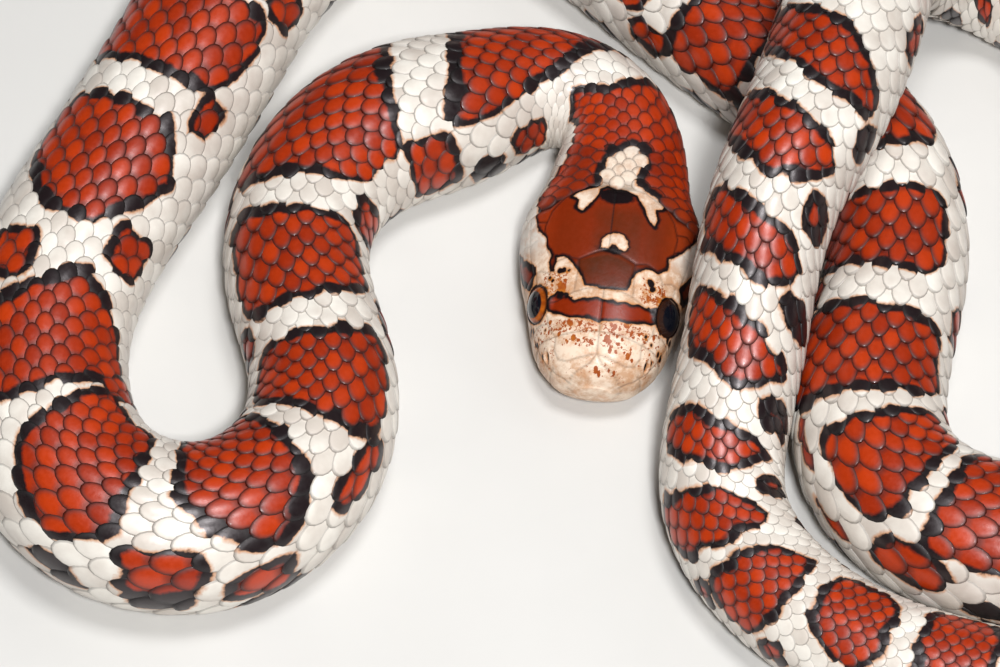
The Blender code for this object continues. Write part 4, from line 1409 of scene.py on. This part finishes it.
# Noises: cells per metre, detail, roughness.
BLOT_NOISE = (420.0, 3.0)
FLECK_NOISE = (2600.0, 2.0, 0.6)
EDGE_NOISE = (1100.0, 3.0, 0.6)
SNOUT_NOISE = (1300.0, 4.0, 0.7)
SPECK_NOISE = (3600.0, 3.0, 0.7)
IRIS_NOISE = (2200.0, 3.0)
FLOOR_NOISE = (60.0, 4.0)
EDGE_RAGGED = 0.45
SPECK_RAGGED = 1.6
CREAM_BLOT = 0.7
SNOUT_BLOT = 0.5
RED_FLECK = 0.4

# Stretches of a value over which a colour changes to the next.
CREAM_RUN = (0.35, 0.70)
SNOUT_RUN = (0.42, 0.56)
RED_RUN = (0.2, 0.8)
BROWN_RUN = (0.3, 0.6, 0.75, 1.0)
SPECK_RUN = (0.48, 0.62)
OCHRE_RUN = (0.20, 0.04, 0.0, 0.7)
BLACK_RUN = (0.05, -0.03)
INNER_RUN = (0.10, -0.10)
WHITE_RUN = (-0.05, 0.05)
RIM_SHADE = (0.0, 1.0, 0.12, 0.55)
RIM_THINNING = 0.68
FLECK_RUN = (0.3, 0.7)
MATT_RANGE = (0.28, 0.38)
RIM_MATT = 0.34
TIP_GLOSS = 0.12
BUMP = {"Strength": 0.12, "Distance": 0.00008}
IRIS_RUN = (0.35, 0.65)
IRIS_SHADE = 0.96
EYE_RING_RUN = (EYE_RIM - 0.20, EYE_RIM - 0.05)
PUPIL_RUN = (PUPIL - 0.05, PUPIL + 0.05)
EYE_MATT_RANGE = (0.10, 0.16)


class Nodes:
    """A short way to build a material's nodes."""

    def __init__(self, name):
        self.material = bpy.data.materials.new(name)
        self.material.use_nodes = True
        self.tree = self.material.node_tree
        self.tree.nodes.clear()

    def add(self, kind, inputs=(), **settings):
        made = self.tree.nodes.new(kind)
        for key, value in settings.items():
            setattr(made, key, value)
        for key, value in dict(inputs).items():
            self.set(made, key, value)
        return made

    def set(self, made, key, value):
        if isinstance(value, bpy.types.NodeSocket):
            self.tree.links.new(value, made.inputs[key])
        else:
            made.inputs[key].default_value = value

    def math(self, operation, a, b=0.0):
        return self.add("ShaderNodeMath", {0: a, 1: b}, operation=operation).outputs[0]

    def product(self, a, b):
        return self.math("MULTIPLY", a, b)

    def blend(self, a, b, share):
        """A mixture of two values, with this share of the first."""
        return self.math("ADD", self.product(a, share), self.product(b, 1 - share))

    def spread(self, value, size):
        """A noise about zero, from one about a half."""
        return self.product(self.math("SUBTRACT", value, 0.5), size)

    def point_data(self, name):
        """Point data's red, green, blue and alpha."""
        data = self.add("ShaderNodeAttribute", attribute_name=name)
        parts = self.add("ShaderNodeSeparateColor", {0: data.outputs["Color"]}).outputs
        return *parts, data.outputs["Alpha"]

    def mix(self, factor, a, b):
        a = a if isinstance(a, bpy.types.NodeSocket) else (*a, 1.0)
        b = b if isinstance(b, bpy.types.NodeSocket) else (*b, 1.0)
        return self.add("ShaderNodeMix", {0: factor, 6: a, 7: b}, data_type="RGBA").outputs[2]

    def noise(self, scale, detail=2.0, roughness=0.5):
        where = self.add("ShaderNodeTexCoord").outputs["Object"]
        inputs = {"Vector": where, "Scale": scale, "Detail": detail, "Roughness": roughness}
        return self.add("ShaderNodeTexNoise", inputs).outputs["Fac"]

    def range(self, value, low, high, to_low=0.0, to_high=1.0):
        inputs = {0: value, 1: low, 2: high, 3: to_low, 4: to_high}
        return self.add("ShaderNodeMapRange", inputs).outputs[0]

    def finish(self, shader):
        output = self.add("ShaderNodeOutputMaterial")
        self.tree.links.new(shader.outputs[0], output.inputs["Surface"])
        return self.material


def snake_material(name, gloss, varnish):
    """White, black and red by the markings, with a darker rim round each scale, partly painted shade.
    """
    n = Nodes(name)
    outer, inner, brown, speck = n.point_data("marks")
    rim, tone, head, tip = n.point_data("shade_and_tone")
    blot = n.noise(*BLOT_NOISE)
    fleck = n.noise(*FLECK_NOISE)
    ragged = n.spread(n.noise(*EDGE_NOISE), EDGE_RAGGED)
    outer = n.math("ADD", outer, ragged)
    inner = n.math("ADD", inner, ragged)
    cream = n.mix(n.range(n.blend(blot, tone, CREAM_BLOT), *CREAM_RUN), WHITE_SHADE, WHITE_LIGHT)
    snout = n.blend(blot, n.noise(*SNOUT_NOISE), SNOUT_BLOT)
    cream = n.mix(head, cream, n.mix(n.range(snout, *SNOUT_RUN), SNOUT_SHADE, SNOUT_LIGHT))
    warm = n.mix(n.range(n.blend(fleck, tone, RED_FLECK), *RED_RUN), RED_SHADE, RED_LIGHT)
    warm = n.mix(n.product(brown, n.range(blot, *BROWN_RUN)), warm, CROWN_COLOUR)
    torn = n.math("ADD", speck, n.spread(n.noise(*SPECK_NOISE), SPECK_RAGGED))
    colour = n.mix(n.range(torn, *SPECK_RUN), cream, SPECK_COLOUR)
    colour = n.mix(n.range(outer, *OCHRE_RUN), colour, OCHRE_COLOUR)
    colour = n.mix(n.range(outer, *BLACK_RUN), colour, BLACK_COLOUR)
    colour = n.mix(n.range(inner, *INNER_RUN), colour, warm)
    # the rims' darkening, less on white: partly the scales' dark edges, partly painted shade
    white = n.range(outer, *WHITE_RUN)
    keep = n.range(white, *RIM_SHADE)
    line = n.add("ShaderNodeCombineXYZ", {0: keep, 1: keep, 2: keep}).outputs[0]
    thin = n.product(n.math("SUBTRACT", white, head), RIM_THINNING)
    shade = n.mix(n.range(rim, thin, 1.0), (1, 1, 1), line)
    colour = n.add("ShaderNodeVectorMath", {0: colour, 1: shade}, operation="MULTIPLY").outputs[0]
    matt = n.range(fleck, *FLECK_RUN, *MATT_RANGE)
    dull = n.product(n.product(rim, n.math("SUBTRACT", 1.0, tip)), RIM_MATT)
    matt = n.math("ADD", matt, dull)
    bump = n.add("ShaderNodeBump", {"Height": fleck, **BUMP})
    shader = n.add("ShaderNodeBsdfPrincipled", {
        "Base Color": colour, "Roughness": n.math("SUBTRACT", matt, n.product(tip, TIP_GLOSS)),
        "Normal": bump.outputs[0], "Specular IOR Level": gloss,
        "Specular Tint": SKIN_TINT, "Coat Weight": varnish, "Coat Roughness": 0.12,
    })
    return n.finish(shader)


def eye_material():
    """A dark pupil in an orange iris, which is black on the shaded side."""
    n = Nodes("eye_glass")
    reach, _, shaded, _ = n.point_data("gaze")
    radius = n.product(reach, GAZE_FULL)
    streak = n.noise(*IRIS_NOISE)
    iris = n.mix(n.range(streak, *IRIS_RUN), IRIS_DARK, IRIS_LIGHT)
    iris = n.mix(n.product(shaded, IRIS_SHADE), iris, IRIS_SHADED)
    edge = n.mix(n.range(radius, *EYE_RING_RUN), iris, EYE_RING_COLOUR)
    colour = n.mix(n.range(radius, *PUPIL_RUN), PUPIL_COLOUR, edge)
    shader = n.add("ShaderNodeBsdfPrincipled", {
        "Base Color": colour, "Roughness": n.range(streak, *FLECK_RUN, *EYE_MATT_RANGE),
        "Coat Weight": 0.35, "Coat Roughness": 0.04, "Specular IOR Level": 0.3,
    })
    return n.finish(shader)


def floor_material():
    n = Nodes("floor")
    colour = n.mix(n.noise(*FLOOR_NOISE), FLOOR_DARK, FLOOR_LIGHT)
    return n.finish(n.add("ShaderNodeBsdfPrincipled", {"Base Color": colour, "Roughness": 0.8}))


# The studio
CAMERA_PLACE = (-0.02183, -0.18866, 0.2828)
CAMERA_TILT = 33.0
CAMERA_LENS = 148.5
FLOOR_SIZE = 1.6
FLOOR_LEVEL = -0.00002
WORLD_LIGHT = (("Color", (1.0, 0.99, 0.97, 1.0)), ("Strength", 0.05))
LIGHTS = (
    # place, size, watts, seen in reflections
    ((0.02, -0.25, 0.38), 0.05, 1.8, True),
    ((0.04, -0.03, 0.46), 0.12, 1.1, True),
    ((0.30, 0.25, 0.50), 0.40, 0.5, False),
)
AIM = (0.0, 0.0, 0.0)


def make_camera():
    data = bpy.data.cameras.new("camera")
    data.lens = CAMERA_LENS
    data.clip_start = 0.001
    camera = bpy.data.objects.new("camera", data)
    camera.location = CAMERA_PLACE
    camera.rotation_euler = Euler((math.radians(CAMERA_TILT), 0, 0))
    bpy.context.scene.collection.objects.link(camera)
    bpy.context.scene.camera = camera


def make_lights():
    for number, (place, size, watts, mirrored) in enumerate(LIGHTS):
        data = bpy.data.lights.new("softbox_%d" % number, "AREA")
        data.size, data.energy = size, watts
        lamp = bpy.data.objects.new(data.name, data)
        lamp.location = place
        lamp.visible_glossy = mirrored
        lamp.rotation_euler = (Vector(AIM) - Vector(place)).to_track_quat("-Z", "Y").to_euler()
        bpy.context.scene.collection.objects.link(lamp)
    world = bpy.data.worlds.new("studio")
    world.use_nodes = True
    for key, value in WORLD_LIGHT:
        world.node_tree.nodes["Background"].inputs[key].default_value = value
    bpy.context.scene.world = world
    bpy.context.scene.view_settings.view_transform = "Standard"


def make_floor():
    half = FLOOR_SIZE / 2
    mesh = bpy.data.meshes.new("floor")
    corners = [(-half, -half), (half, -half), (half, half), (-half, half)]
    mesh.from_pydata([(*corner, FLOOR_LEVEL) for corner in corners], [], [(0, 1, 2, 3)])
    floor = bpy.data.objects.new("floor", mesh)
    floor.data.materials.append(floor_material())
    bpy.context.scene.collection.objects.link(floor)


def make_snake():
    coat = snake_material("scales", gloss=0.65, varnish=0.05)
    shields = snake_material("shields", gloss=0.20, varnish=0.03)
    glass = eye_material()
    draw = np.random.default_rng(SEED)
    skin = make_skin()
    skin.data.materials.append(shields)
    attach(skin, "root")
    flesh = [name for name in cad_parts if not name.startswith("eye")]
    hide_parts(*flesh)
    centres = scale_centres()
    for number, (low, high) in enumerate(zip(COAT_CUTS, COAT_CUTS[1:])):
        chosen = centres[(centres[:, 0] >= low) & (centres[:, 0] < high)]
        piece = make_scales("scales_%d" % (number + 1), chosen, draw)
        piece.data.materials.append(coat)
        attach(piece, "root")
    belly = make_belly("belly_plates", draw)
    belly.data.materials.append(coat)
    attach(belly, "root")
    for name, side in (("eye_left", 1), ("eye_right", -1)):
        eye = make_eye(name + "_ball", side)
        eye.data.materials.append(glass)
        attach(eye, "root")
        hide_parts(name)


make_camera()
make_floor()
make_lights()
make_snake()
